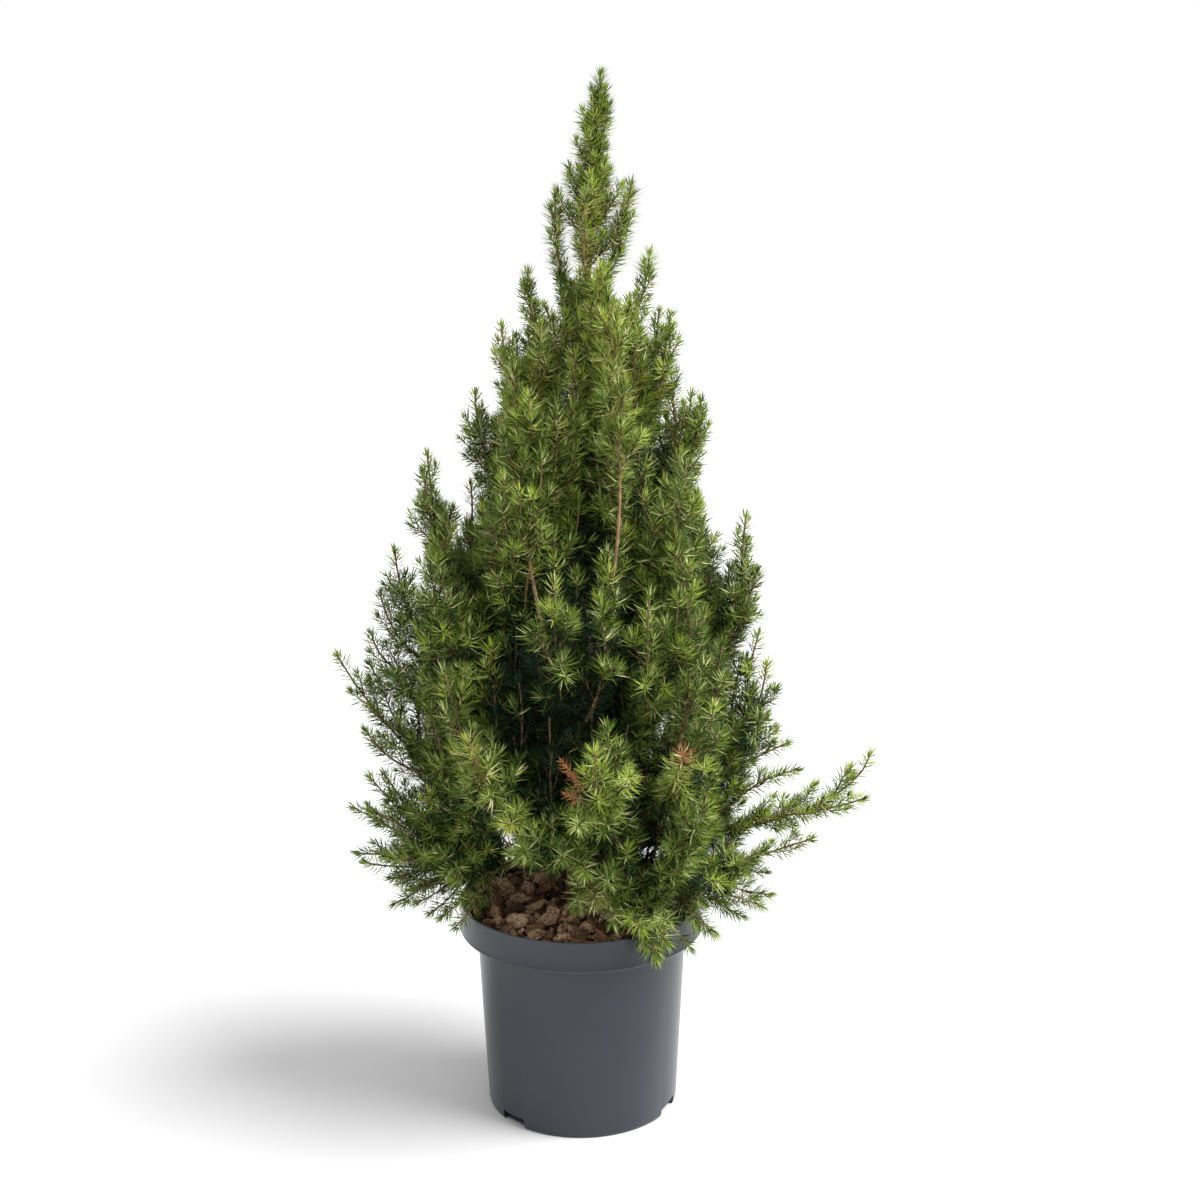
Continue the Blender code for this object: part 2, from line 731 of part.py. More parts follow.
def side_sprays(limb, own, space):
    """Sprays set by golden-angle steps round the stem; one that finds no room is skipped."""
    start = limb.stem_start
    covered = limb.length - start
    most = min(SPRAY_MOST, max(SPRAY_FEWEST, round(covered / SPRAY_SPACING)))
    pace = SPRAY_STEP * limb.half_width / SPRAY_FULL_WIDTH
    meshes = []
    distance = start + max(SPRAY_FIRST * covered, CORE_BARE)
    attempt = 0
    while distance < start + SPRAY_LAST * covered and len(meshes) < most:
        attempt += 1
        turn = math.radians(attempt * GOLDEN_ANGLE + own * SPRAY_TURN)
        direction = spray_direction(limb, distance, turn)
        root = along(limb.line, distance)[0]
        room_ahead = (limb.length - distance - SPRAY_LEAD) / math.cos(math.radians(SPRAY_ANGLE))
        distance += pace
        for shrink in SPRAY_SHRINKS:
            length = shrink * min(SPRAY_LENGTH * limb.half_width, room_ahead)
            rings = spray_rings(root, direction, length, attempt * SPRAY_ROLL, limb.half_width)
            points = [point for ring in rings[1:] for point in ring]
            if length > SPRAY_LEAST * limb.half_width and space.holds(points, own, limb.half_width):
                meshes.append(lofted("spray", rings))
                distance += pace
                break
    return meshes


def make_mass(limb, own, space, group):
    core = core_mesh(limb, own, space)
    mass = add_object(f"mass_{limb.name}", core, group, needle_material("needles"))
    fuse(mass, side_sprays(limb, own, space))


def main():
    clear_scene()
    parts = new_collection("potted_alberta_spruce")
    cutters = new_collection("cutters")
    make_pot(parts, cutters)
    make_soil(parts)
    make_trunk(parts)
    limbs = all_limbs()
    space = Space(limbs)
    for own, limb in enumerate(limbs):
        if limb.own_bough:
            make_bough(limb, parts)
        make_mass(limb, own, space, parts)


main()
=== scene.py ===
"""Looks of the potted Alberta spruce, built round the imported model.

The boughs, twigs and needles grow by the rule that the solids follow, written again here and
carried to finer twigs. Metres, z up, the front of the plant faces -Y, and bearings are degrees
round z from +X.
"""

import math

import bmesh
import bpy
import numpy as np
from mathutils import Matrix, Vector, noise
from mathutils.geometry import interpolate_bezier
from mathutils.kdtree import KDTree

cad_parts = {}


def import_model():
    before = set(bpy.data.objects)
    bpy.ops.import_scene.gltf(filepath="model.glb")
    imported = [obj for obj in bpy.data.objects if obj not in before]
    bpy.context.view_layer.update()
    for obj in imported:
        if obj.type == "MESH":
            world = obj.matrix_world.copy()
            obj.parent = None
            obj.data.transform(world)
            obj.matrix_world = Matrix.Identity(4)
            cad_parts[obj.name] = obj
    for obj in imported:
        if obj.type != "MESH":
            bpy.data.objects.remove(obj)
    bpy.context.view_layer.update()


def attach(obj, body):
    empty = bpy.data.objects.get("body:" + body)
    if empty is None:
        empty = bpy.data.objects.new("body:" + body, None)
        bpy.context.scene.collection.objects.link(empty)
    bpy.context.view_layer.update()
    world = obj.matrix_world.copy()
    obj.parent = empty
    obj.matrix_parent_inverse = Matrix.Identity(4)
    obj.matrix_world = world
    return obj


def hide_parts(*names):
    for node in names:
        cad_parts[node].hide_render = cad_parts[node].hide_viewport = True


GOLDEN = math.radians(137.508)
UP = np.array((0.0, 0.0, 1.0))

# ---- the source's sizes

TRUNK_FOOT = 0.2083
TRUNK_TOP = 0.900
APEX = 1.010
TRUNK_RADIUS = 0.0105
TRUNK_TIP_RADIUS = 0.0022
TRUNK_LEAN = (0.0240, 0.0040)
LEAN_POWER = 3.0
FLARE = 0.62
FLARE_HEIGHT = 0.022
FLARE_LOBES = 4
FLARE_TURN = 0.7
FLARE_SHARES = (0.6, 0.8)
TAPER_POWER = 0.9

FIRST_HANDLE = (0.52, 0.10)
SECOND_HANDLE = (0.96, 0.42)
# Handles of the limbs whose twigs rise straighter than their solids.
STRAIGHTER = {"left_arm": ((0.52, 0.10), (0.80, 0.52)), "front_skirt": ((0.40, 0.42), (0.84, 0.74))}
LIMB_TAPER = 0.0100
LIMB_FOOT_RADIUS = 0.0012
LIMB_TIP_RADIUS = 0.0009
LESSER_FOOT_RADIUS = 0.0022
BOUGH_SHARE = 0.24
LIMB_STEPS = 28
STEM_THINNING = 1.2
FOOT_STAGGER = 0.011
TIP_SWAY = 0.012
TRUNK_GAP = 0.008

# Tiers of plumes: name, own bough, tip height, reach, foot height, half width, bearings.
TIERS = (
    ("top", False, 0.893, 0.034, 0.800, 0.028, (5, 172, -100)),
    ("upper", False, 0.836, 0.056, 0.720, 0.039, (180, -78, 2, 98)),
    ("neck", False, 0.790, 0.080, 0.650, 0.046, (-164, -16, 60)),
    ("shoulder", False, 0.725, 0.102, 0.560, 0.053, (178, -118, -70, 6, 122)),
    ("waist", False, 0.655, 0.130, 0.460, 0.060, (-168, -122, -44, 36, 92)),
    ("middle", True, 0.565, 0.158, 0.365, 0.065, (178, -142, -98, -56, 0, 132)),
    ("lower", True, 0.447, 0.188, 0.290, 0.067, (-120, -82, -50, -2, 66)),
)
# Plumes whose tips stand out of their tier: tip height and reach.
STANDOUTS = {
    "top_1": (0.907, 0.035),
    "waist_1": (0.648, 0.150),
    "middle_1": (0.566, 0.178),
    "lower_4": (0.455, 0.180),
}
LEADER_HALF_WIDTH = 0.026
LOW_BOUGHS = (
    ("left_arm", 179, 0.236, 0.463, 0.285, 0.058),
    ("left_skirt", -172, 0.212, 0.262, 0.248, 0.064),
    ("front_skirt", -104, 0.204, 0.340, 0.248, 0.064),
    ("hanging_tuft", -61, 0.150, 0.206, 0.236, 0.040),
    ("right_arm", -3, 0.282, 0.366, 0.264, 0.060),
    ("right_skirt", -20, 0.186, 0.226, 0.243, 0.056),
    ("back_skirt", 104, 0.205, 0.285, 0.256, 0.066),
)
# Crown's outline: height and radius from the trunk's line. Only a stem's nearest twigs pass it.
CROWN = ((0.19, 0.140), (0.24, 0.198), (0.34, 0.200), (0.42, 0.186), (0.48, 0.178), (0.54, 0.164),
         (0.60, 0.136), (0.66, 0.112), (0.70, 0.100), (0.76, 0.080), (0.80, 0.070), (0.84, 0.050),
         (0.87, 0.034), (0.91, 0.026), (0.95, 0.016), (1.02, 0.008))
CROWN_LINE = tuple(zip(*CROWN))
ARM_WIDTH = 0.022
RIM_RADIUS = 0.1200
POT_HEIGHT = 0.2152
BASE_RADIUS = 0.0941
SHOULDER_RADIUS = 0.1035
RIM_UNDERSIDE = 0.1835
WALL = 0.0021
FLOOR = 0.0030
SLOT_BEARINGS = (-136.0, -25.0, 100.0)
SLOT_WIDTH = 0.030
SLOT_HEIGHT = 0.0100
SLOT_DEPTH = 0.0060

# ---- finer growth

SEED = 7
TIP_SPARE = 0.002

# How side shoots stand on a stem: spacing, length as a share of the plume's half width, and the
# length of the bare leader that ends the plume. Then the habit of each tier, limb or lesser plume.
MAIN_HABIT = (0.0115, 0.95, 0.032)
LESSER_HABIT = (0.0150, 0.82, 0.042)
ARM_HABIT = (0.0112, 0.56, 0.036)
INNER_HABIT = (0.0180, 0.90, 0.030)
TOP_HABIT = (0.0085, 0.62, 0.022)
NECK_HABIT = (0.0095, 0.84, 0.026)
THIN_HABIT = (0.0150, 0.30, 0.020)
HABITS = {"top": TOP_HABIT, "upper": TOP_HABIT, "neck": NECK_HABIT, "shoulder": NECK_HABIT,
          "top_3": THIN_HABIT, "left_arm": ARM_HABIT, "right_arm": ARM_HABIT,
          "fill": LESSER_HABIT, "high": NECK_HABIT, "inner": INNER_HABIT}
SHORT_NEEDLES = {"left_arm": 0.96, "right_arm": 0.96}
LESSER_NAMES = ("fill", "high", "inner")
# Tones of a plume's body and tips.
LIGHT_BRIGHT = ("light_green", "bright_tip")
LIGHT_FRESH = ("light_green", "fresh_tip")
MID_FRESH = ("mid_green", "fresh_tip")
MID_PLAIN = ("mid_green", "green_tip")
DULL_PLAIN = ("dull_green", "green_tip")
LIMB_TONES = {"right_arm": LIGHT_BRIGHT, "left_arm": MID_FRESH}
LEADER_SPARE = 0.008
SIDE_ANGLE = 40.0
SIDE_RISE = 0.18
SIDE_ROOM = 0.60
SIDE_LEAST = 0.011
SIDE_TURN = math.radians(51.0)
SIDE_FIT = (1.0, 0.82, 0.66, 0.52, 0.40)
TWIG_SPACING = 0.0125
TWIG_ANGLE = 42.0
TWIG_RISE = 0.12
TWIG_FLATNESS = 0.75
TWIG_LEAST = 0.010
TWIG_MOST = 0.028
# A side shoot longer than this has twigs of its own.
TWIGGED_FROM = 0.027
# Whorls of tufts close to the top of the trunk: height, tuft length.
WHORLS = ((0.735, 0.070), (0.760, 0.062), (0.786, 0.050), (0.834, 0.028), (0.858, 0.034), (0.879, 0.042),
          (0.897, 0.036), (0.913, 0.030), (0.928, 0.025), (0.941, 0.022), (0.953, 0.018), (0.965, 0.015),
          (0.976, 0.012))
WHORL_TUFTS = 4
WHORL_TURN = 52.0
WHORL_TILT = 47.0
# Tufts that stand out of the top: bearing, height and reach of the tip.
TOP_TUFTS = ((0, 0.975, 0.010), (180, 0.970, 0.014), (0, 0.938, 0.009), (178, 0.944, 0.017),
             (182, 0.920, 0.022), (2, 0.917, 0.014), (-4, 0.904, 0.026), (176, 0.899, 0.032),
             (4, 0.878, 0.031), (-2, 0.845, 0.029), (-88, 0.905, 0.024), (-100, 0.872, 0.030),
             (92, 0.900, 0.026), (95, 0.930, 0.018))
TOP_TUFT_DROP = 1.35
TUFT_TWIG_SHARES = (0.30, 0.42, 0.55, 0.68)
TUFT_BARE = 0.14
TUFT_RADII = (0.0011, 0.0005)
TWIG_RADII = (0.0007, 0.0004)

# Lesser plumes that fill the crown's surface between the limbs' own.
FILL_COUNT = 224
FILL_HEIGHTS = (0.235, 0.810)
FILL_REACH = (0.64, 1.0)
FILL_DROP = (0.11, 0.19)
FILL_ROOT_SHARE = 0.62
LOWEST_FILL_ROOT = 0.236
LOWEST_ACCENT_ROOT = 0.238
LOOSE_REACH = 0.72
FILL_WIDTH = 0.040
FILL_NEAREST = 0.022
FILL_SWAY = 9.0
TILTS = ((0.20, 98.0), (0.26, 72.0), (0.34, 38.0), (0.46, 16.0), (0.62, 8.0), (0.95, 5.0))
# Bearings and height below which the crown's front stays open over the mulch: for a plume's tip
# and for its twigs.
OPEN_FRONT = (-134.0, -76.0, 0.335)
OPEN_SIDES = (-0.090, -0.016)
OPEN_HEIGHT = 0.244
OPEN_SLOPE = 0.39
RIM_CLEARANCE = 0.006
# Bearings and heights where the crown's front is loose and shows its dark inside or a stem, and
# which of the plumes there keep back: every second one or all.
LOOSE_FRONTS = ((-128.0, -54.0, 0.33, 0.56, 2), (-88.0, -62.0, 0.56, 0.74, 1))
# Plumes inside the crown, in its shade.
INNER_COUNT = 92
INNER_HEIGHTS = (0.300, 0.740)
INNER_REACH = (0.20, 0.58)

# Single plumes that the front shows by their colour or place: bearing, tip height, reach, tilt
# from upright, half width, drop from the tip to the root, tones.
ACCENTS = (
    (-117, 0.437, 0.212, 24, 0.036, 0.07, ("olive", "yellow_tip")),
    (-86, 0.434, 0.212, 4, 0.032, 0.07, LIGHT_BRIGHT),
    (-64, 0.426, 0.214, 34, 0.032, 0.07, ("olive", "red_tip")),
    (-78, 0.411, 0.218, 60, 0.028, 0.07, LIGHT_BRIGHT),
    (-107, 0.363, 0.214, 74, 0.030, 0.02, ("light_green", "yellow_tip")),
    (-90, 0.366, 0.216, 80, 0.030, 0.02, MID_FRESH),
    (-85, 0.268, 0.160, 115, 0.034, 0.04, ("olive", "olive")),
    (-81, 0.292, 0.170, 100, 0.034, 0.04, DULL_PLAIN),
    (-78, 0.245, 0.150, 120, 0.030, 0.02, MID_PLAIN),
    (-91, 0.262, 0.150, 115, 0.030, 0.03, ("light_green", "green_tip")),
    (-88, 0.300, 0.164, 100, 0.034, 0.02, MID_FRESH),
    (-95, 0.318, 0.172, 92, 0.034, 0.02, DULL_PLAIN),
    (-68, 0.238, 0.156, 100, 0.030, 0.07, LIGHT_BRIGHT),
    (-62, 0.203, 0.150, 140, 0.034, 0.07, LIGHT_BRIGHT),
    (-56, 0.214, 0.146, 125, 0.030, 0.07, ("olive", "bright_tip")),
    (-44, 0.200, 0.146, 125, 0.030, 0.07, MID_PLAIN),
    (-36, 0.214, 0.152, 112, 0.030, 0.07, DULL_PLAIN),
    (-30, 0.202, 0.150, 122, 0.028, 0.07, MID_FRESH),
    (-8, 0.328, 0.276, 66, 0.022, 0.07, LIGHT_BRIGHT),
    (-12, 0.290, 0.228, 70, 0.024, 0.07, LIGHT_FRESH),
    (-5, 0.350, 0.212, 80, 0.026, 0.07, LIGHT_FRESH),
    (0, 0.372, 0.203, 66, 0.026, 0.07, LIGHT_FRESH),
    (-9, 0.226, 0.188, 88, 0.028, 0.07, LIGHT_FRESH),
    (-18, 0.212, 0.166, 104, 0.026, 0.07, MID_PLAIN),
    (-98, 0.715, 0.070, 4, 0.036, 0.16, LIGHT_FRESH),
    (-140, 0.775, 0.052, 4, 0.034, 0.12, ("light_olive", "yellow_tip")),
    (-36, 0.800, 0.048, 4, 0.032, 0.12, LIGHT_BRIGHT),
    (-34, 0.796, 0.026, 3, 0.030, 0.12, LIGHT_BRIGHT),
    (-128, 0.792, 0.034, 3, 0.030, 0.12, ("light_olive", "fresh_tip")),
    (-12, 0.742, 0.072, 5, 0.032, 0.12, LIGHT_FRESH),
    (-74, 0.768, 0.056, 4, 0.034, 0.12, LIGHT_BRIGHT),
    (174, 0.772, 0.054, 4, 0.032, 0.12, ("olive", "fresh_tip")),
    (14, 0.762, 0.058, 4, 0.032, 0.12, ("light_olive", "fresh_tip")),
    (84, 0.780, 0.050, 4, 0.034, 0.12, LIGHT_FRESH),
    (130, 0.760, 0.056, 4, 0.034, 0.12, ("olive", "fresh_tip")),
    (-4, 0.600, 0.156, 8, 0.032, 0.12, MID_FRESH),
    (-5, 0.548, 0.168, 12, 0.034, 0.12, DULL_PLAIN),
    (-4, 0.710, 0.110, 6, 0.030, 0.12, LIGHT_FRESH),
    (-171, 0.662, 0.146, 6, 0.030, 0.12, MID_FRESH),
    (-170, 0.246, 0.190, 96, 0.034, 0.04, MID_PLAIN),
    (-164, 0.226, 0.166, 104, 0.034, 0.02, DULL_PLAIN),
    (-156, 0.216, 0.148, 114, 0.032, 0.02, MID_FRESH),
    (-150, 0.210, 0.140, 120, 0.028, 0.02, ("olive", "green_tip")),
    (180, 0.525, 0.192, 10, 0.036, 0.07, DULL_PLAIN),
    (-172, 0.492, 0.200, 12, 0.038, 0.07, MID_PLAIN),
    (176, 0.452, 0.206, 16, 0.038, 0.07, DULL_PLAIN),
    (-176, 0.392, 0.208, 28, 0.036, 0.07, MID_FRESH),
    (180, 0.308, 0.224, 60, 0.026, 0.07, MID_FRESH),
    (-176, 0.345, 0.206, 38, 0.036, 0.07, ("dull_green", "fresh_tip")),
    (-168, 0.318, 0.204, 62, 0.036, 0.05, MID_PLAIN),
    (-162, 0.278, 0.196, 82, 0.036, 0.04, MID_FRESH),
    (172, 0.430, 0.200, 18, 0.036, 0.07, MID_PLAIN),
    (178, 0.257, 0.222, 84, 0.026, 0.07, ("light_green", "green_tip")),
    (-176, 0.211, 0.186, 112, 0.026, 0.07, MID_FRESH),
    (-168, 0.208, 0.152, 118, 0.026, 0.07, DULL_PLAIN),
)

# Long stems that show on the crown's front, as four guide points from foot to tip: bearing,
# height, reach. Each is rooted on the limb nearest to its foot, and its first share is bare.
FRONT_STEMS = (
    (0.58, ((-76, 0.440, 0.080), (-71, 0.590, 0.182), (-75, 0.700, 0.112), (-72, 0.812, 0.060))),
    (0.45, ((-98, 0.420, 0.080), (-104, 0.560, 0.170), (-128, 0.660, 0.110), (-142, 0.745, 0.080))),
    (0.30, ((-148, 0.350, 0.090), (-150, 0.440, 0.190), (-152, 0.530, 0.158), (-155, 0.618, 0.130))),
    (0.30, ((-58, 0.350, 0.090), (-55, 0.430, 0.190), (-50, 0.510, 0.166), (-47, 0.602, 0.124))),
    (0.30, ((-84, 0.380, 0.080), (-82, 0.450, 0.180), (-80, 0.520, 0.150), (-78, 0.590, 0.118))),
)
FRONT_STEM_FOOT = 0.0032
FRONT_STEM_WIDTH = 0.034

# Dead tufts at the ends of thin twigs: bearing, height, reach.
DEAD_TUFTS = ((-92.5, 0.396, 0.218), (-91.5, 0.412, 0.217), (-93.5, 0.424, 0.215))
DEAD_NEEDLE_SHARE = 0.55
DEAD_BARE = 0.78
# Stands for the limb of a shoot that belongs to none.
DEAD = -1

NEEDLE_LENGTH = 0.0172
# Half the width at the broadest place, and where along the needle that is.
NEEDLE_WIDTH = 0.00056
NEEDLE_BROADEST = 0.24
NEEDLE_BEND = 0.075
NEEDLE_GAP = 0.00066
NEEDLE_ROLL = 0.9
NEEDLE_SPREAD = (0.82, 1.14)
NEEDLE_LEAN = 66
LEAN_SPREAD = 8
# Over a shoot's last stretch the needles are younger: more upright and shorter.
YOUNG_STRETCH = 0.012
YOUNG_UPRIGHTER = 25
YOUNG_SHORTER = 0.26
# Extra needles of the tip stand on so long a stretch, and those of the bud on its last share.
TIP_STRETCH = 0.015
BUD_FROM = 0.985
BUD_LEAN = (4, 34)
BUD_SIZE = 0.92
# The needles' size by height.
SIZE_BY_HEIGHT = ((0.55, 0.80, 0.92), (1.0, 0.92, 0.78))
NEEDLE_FACES = np.array(((0, 2, 3), (2, 1, 3)))
TIP_NEEDLES = (34, 20, 12)
BUD_NEEDLES = (12, 9, 6)
STEM_DENSITY = 0.75
STEM_BARE = 0.12
TUFT_DENSITY = 1.9
INNER_DENSITY = 0.6
# Shares of needles scattered in the painted highlight tone and in the painted shade tone.
GLINT_SHARE = 0.13
SHADE_SHARE = 0.17
MOST_NEEDLES = 90000

# ---- bark

RIDGE_SCALE = 260
RIDGE_STRETCH = 0.35
TRUNK_RINGS = 230
TRUNK_SIDES = 28
TRUNK_SEED = 3
TRUNK_RELIEF = 0.0007
TRUNK_OVERLAP = 0.012
BOUGH_RINGS = 30
BOUGH_SIDES = 14
BOUGH_RELIEF = 0.0004
BOUGH_OVERLAP = 0.004
YOUNG_BARK_FROM = 0.62

# ---- tones

# Screen values from 0 to 255.
TONES = {
    "dead_brown": (128, 84, 48),
    "yellow_tip": (146, 150, 56),
    "red_tip": (148, 98, 60),
    "bright_tip": (149, 168, 60),
    "fresh_tip": (127, 148, 55),
    "green_tip": (95, 119, 40),
    # Painted highlight: a pale tone for needles that stand for glints of light.
    "glint_green": (190, 193, 130),
    "light_green": (109, 128, 51),
    "mid_green": (87, 107, 41),
    "grass_green": (80, 103, 34),
    "deep_green": (36, 57, 25),
    "blue_green": (34, 57, 40),
    "shade_green": (22, 32, 16),
    "olive": (113, 114, 45),
    "light_olive": (140, 139, 62),
    "dull_green": (85, 94, 42),
}

# Which tones shoots take, by their place in the crown: shoots deep inside, low down and on the shaded front
# take darker tones, painted shade.
SHADE_TONES = ("deep_green", "blue_green", "shade_green")
MIDDLE_TONES = ("mid_green", "deep_green", "blue_green", "blue_green")
LOW_MIDDLE_TONES = ("deep_green", "blue_green", "blue_green", "shade_green")
LOW_TONES = ("light_green", "mid_green", "deep_green", "blue_green", "dull_green")
LOW_BELOW = 0.57
OUTER_TONES = ("light_green", "mid_green", "grass_green", "dull_green", "olive")
TOP_TONES = ("light_olive", "light_olive", "light_green", "olive")
TOP_FROM = 0.70
# Bearings of the front where only the outermost shoots keep lit tones and the rest take the dark tones of
# painted shade, and how far at each height.
# The inner and the middle tones go so far out, as shares of the crown's radius.
SHADED_BEARINGS = (-126.0, -66.0)
SHADED_HEIGHTS = ((0.32, 0.0), (0.36, 1.0), (0.50, 1.0), (0.61, 0.2), (0.62, 0.0))
INNER_TO = 0.48
MIDDLE_TO = 0.78
SHADE_DEPTH = 0.38
SHADED_MIDDLE_TO = 0.98
# Shares of bright and of fresh tips at the top and below, and of the inner shoots that have one.
TOP_BRIGHT_SHARE = 0.36
BRIGHT_SHARE = 0.16
FRESH_SHARE = 0.38
LOW_FRESH_SHARE = 0.24
INNER_TIP_SHARE = 0.2
TIP_REACH = 0.013
RARE_TIPS = ("red_tip", "yellow_tip")
NEEDLE_ROUGHNESS = 0.42
NEEDLE_SPECULAR = 0.28
DARK_SPECULAR = 0.12

# ---- pot, mulch, light and camera

POT_STEPS = 160
POT_SMOOTH = 32
SLOT_ROUNDING = 0.0022
SOIL_TOP = 0.2060
SOIL_EDGE = RIM_RADIUS - WALL - 0.0004
SOIL_BOTTOM = RIM_UNDERSIDE + 0.004
SOIL_RINGS = 46
SOIL_STEPS = 120
CHIP_TONES = {
    "dark": ((40, 29, 22), (92, 69, 52)),
    "brown": ((76, 57, 43), (162, 128, 99)),
    "tan": ((114, 87, 65), (222, 188, 152)),
    "red": ((88, 59, 42), (162, 116, 85)),
}
CHIP_SHARES = (0.18, 0.30, 0.36, 0.16)
CHIP_TRIES = 1250
CHIP_SIZE = 0.0055
CHIP_SPREAD = 0.55
CHIP_LIMITS = (0.0024, 0.0190)
FINE_CHIP = 0.0062
CHIP_TILT = 0.45
# No chip stands so near to the trunk.
FOOT_RADIUS = 0.016
FLOOR_SIZE = 12.0
FLOOR_GREY = 0.60
KEY_FROM = (1.0, -0.24, 1.22)
KEY_STRENGTH = 5.6
KEY_ANGLE = 40
CAMERA_LENS = 57.99
CAMERA_PLACE = (0.0202, -1.80, 0.948)
CAMERA_TILT = 76.5
CAMERA_ROLL = -0.30


def unit(vectors):
    vectors = np.asarray(vectors, float)
    return vectors / np.maximum(np.linalg.norm(vectors, axis=-1, keepdims=True), 1e-9)


def bearing_vector(degrees):
    angle = math.radians(degrees)
    return np.array((math.cos(angle), math.sin(angle), 0.0))


def trunk_point(height):
    share = max(0.0, (height - TRUNK_FOOT) / (APEX - TRUNK_FOOT))
    bend = share ** LEAN_POWER
    return np.array((TRUNK_LEAN[0] * bend, TRUNK_LEAN[1] * bend, height))


def crown_point(bearing, height, reach):
    """The point so far out from the trunk's line."""
    return trunk_point(height) + bearing_vector(bearing) * reach


def trunk_radius(height, angle=0.0):
    share = min(1.0, max(0.0, (height - TRUNK_FOOT) / (TRUNK_TOP - TRUNK_FOOT)))
    taper = TRUNK_RADIUS + (TRUNK_TIP_RADIUS - TRUNK_RADIUS) * share ** TAPER_POWER
    swell = FLARE * math.exp(-max(0.0, height - TRUNK_FOOT) / FLARE_HEIGHT)
    lobes = (1.0 + math.cos(FLARE_LOBES * angle + FLARE_TURN)) / 2
    return taper * (1.0 + swell * (FLARE_SHARES[0] + FLARE_SHARES[1] * lobes))


def crown_radius(heights):
    return np.interp(heights, *CROWN_LINE)


def limb_line(bearing, reach, tip_height, foot_height, handles=(FIRST_HANDLE, SECOND_HANDLE)):
    outward = bearing_vector(bearing)
    foot = trunk_point(foot_height)
    tip = trunk_point(tip_height) + outward * reach
    lift = tip_height - foot_height
    first, second = (foot + outward * (out * reach) + UP * (up * lift) for out, up in handles)
    points = interpolate_bezier(Vector(foot), Vector(first), Vector(second), Vector(tip), LIMB_STEPS)
    return np.array(points)


def lengths_along(line):
    steps = np.linalg.norm(np.diff(line, axis=0), axis=1)
    return np.concatenate(([0.0], np.cumsum(steps)))


def at(line, lengths, distances):
    """Points on a line at distances along it."""
    return np.stack([np.interp(distances, lengths, line[:, axis]) for axis in range(3)], axis=-1)


class Limb:
    def __init__(self, name, line, own_bough, half_width, leader=False, tones=None, bare=0.0):
        self.name = name
        self.tones = tones
        self.habit = HABITS.get(name, HABITS.get(name.rsplit("_", 1)[0], MAIN_HABIT))
        self.line = line
        self.half_width = half_width
        self.needle_share = SHORT_NEEDLES.get(name, 1.0)
        self.leader = leader
        self.own_bough = own_bough
        self.lengths = lengths_along(line)
        self.length = self.lengths[-1]
        self.bare = bare
        lesser = name in LESSER_NAMES
        if leader:
            self.foot_radius = TRUNK_TIP_RADIUS
        elif name == "stem":
            self.foot_radius = FRONT_STEM_FOOT
        elif lesser:
            self.foot_radius = LESSER_FOOT_RADIUS
        else:
            self.foot_radius = LIMB_FOOT_RADIUS + LIMB_TAPER * self.length
        foot = 0.0 if leader or lesser or name == "stem" else TRUNK_GAP
        self.stem_start = foot + BOUGH_SHARE * self.length if own_bough else foot

    def radius(self, distances):
        """As the source's limb over its bough, then quickly thinner."""
        share = np.asarray(distances) / self.length
        straight = self.foot_radius + (LIMB_TIP_RADIUS - self.foot_radius) * share
        start = BOUGH_SHARE if self.own_bough else 0.0
        left = np.clip((1.0 - share) / (1.0 - start), 0.0, 1.0)
        return LIMB_TIP_RADIUS + (straight - LIMB_TIP_RADIUS) * left ** STEM_THINNING

    def point(self, distances):
        return at(self.line, self.lengths, distances)

    def direction(self, distance):
        step = 0.002
        ends = self.point(np.array((max(0.0, distance - step), min(self.length, distance + step))))
        return unit(ends[1] - ends[0])


def all_limbs():
    heights = np.linspace(TRUNK_TOP, APEX, 9)
    leader = np.array([trunk_point(height) for height in heights])
    limbs = [Limb("leader", leader, False, LEADER_HALF_WIDTH, leader=True)]
    for tier, own_bough, tip_height, reach, foot_height, half_width, bearings in TIERS:
        for index, bearing in enumerate(bearings, start=1):
            name = f"{tier}_{index}"
            sway = TIP_SWAY * math.cos(index * GOLDEN)
            stagger = FOOT_STAGGER * (1 if index % 2 else -1)
            tip, out = STANDOUTS.get(name, (tip_height + sway, reach))
            line = limb_line(bearing, out, tip, foot_height + stagger)
            limbs.append(Limb(name, line, own_bough, half_width))
    for name, bearing, reach, tip_height, foot_height, half_width in LOW_BOUGHS:
        handles = STRAIGHTER.get(name, (FIRST_HANDLE, SECOND_HANDLE))
        line = limb_line(bearing, reach, tip_height, foot_height, handles)
        limbs.append(Limb(name, line, True, half_width, tones=LIMB_TONES.get(name)))
    return limbs


class Space:
    """Keeps each plume's twigs to its own room, as the solids do, with a little overlap."""

    OVERLAP = 0.011
    SAMPLES = 20

    def __init__(self, limbs):
        self.stems = [limb.point(np.linspace(limb.stem_start, limb.length, self.SAMPLES))
                      for limb in limbs]
        self.tree = KDTree(len(limbs) * self.SAMPLES)
        for index, point in enumerate(np.concatenate(self.stems)):
            self.tree.insert(point, index)
        self.tree.balance()

    def holds(self, points, own, half_width):
        for point in points:
            mine = np.sqrt(((self.stems[own] - point) ** 2).sum(axis=1).min())
            if mine > half_width or mine > self.tree.find(point)[2] + self.OVERLAP:
                return False
            radial = np.linalg.norm((point - trunk_point(point[2]))[:2])
            if mine > ARM_WIDTH and radial > crown_radius(point[2]):
                return False
            over_pot = math.hypot(point[0], point[1]) < RIM_RADIUS + RIM_CLEARANCE
            if over_pot and point[2] < POT_HEIGHT + RIM_CLEARANCE:
                return False
            over_mulch = point[1] < 0 and OPEN_SIDES[0] < point[0] < OPEN_SIDES[1]
            if over_mulch and point[2] < OPEN_HEIGHT - OPEN_SLOPE * point[1]:
                return False
        return True


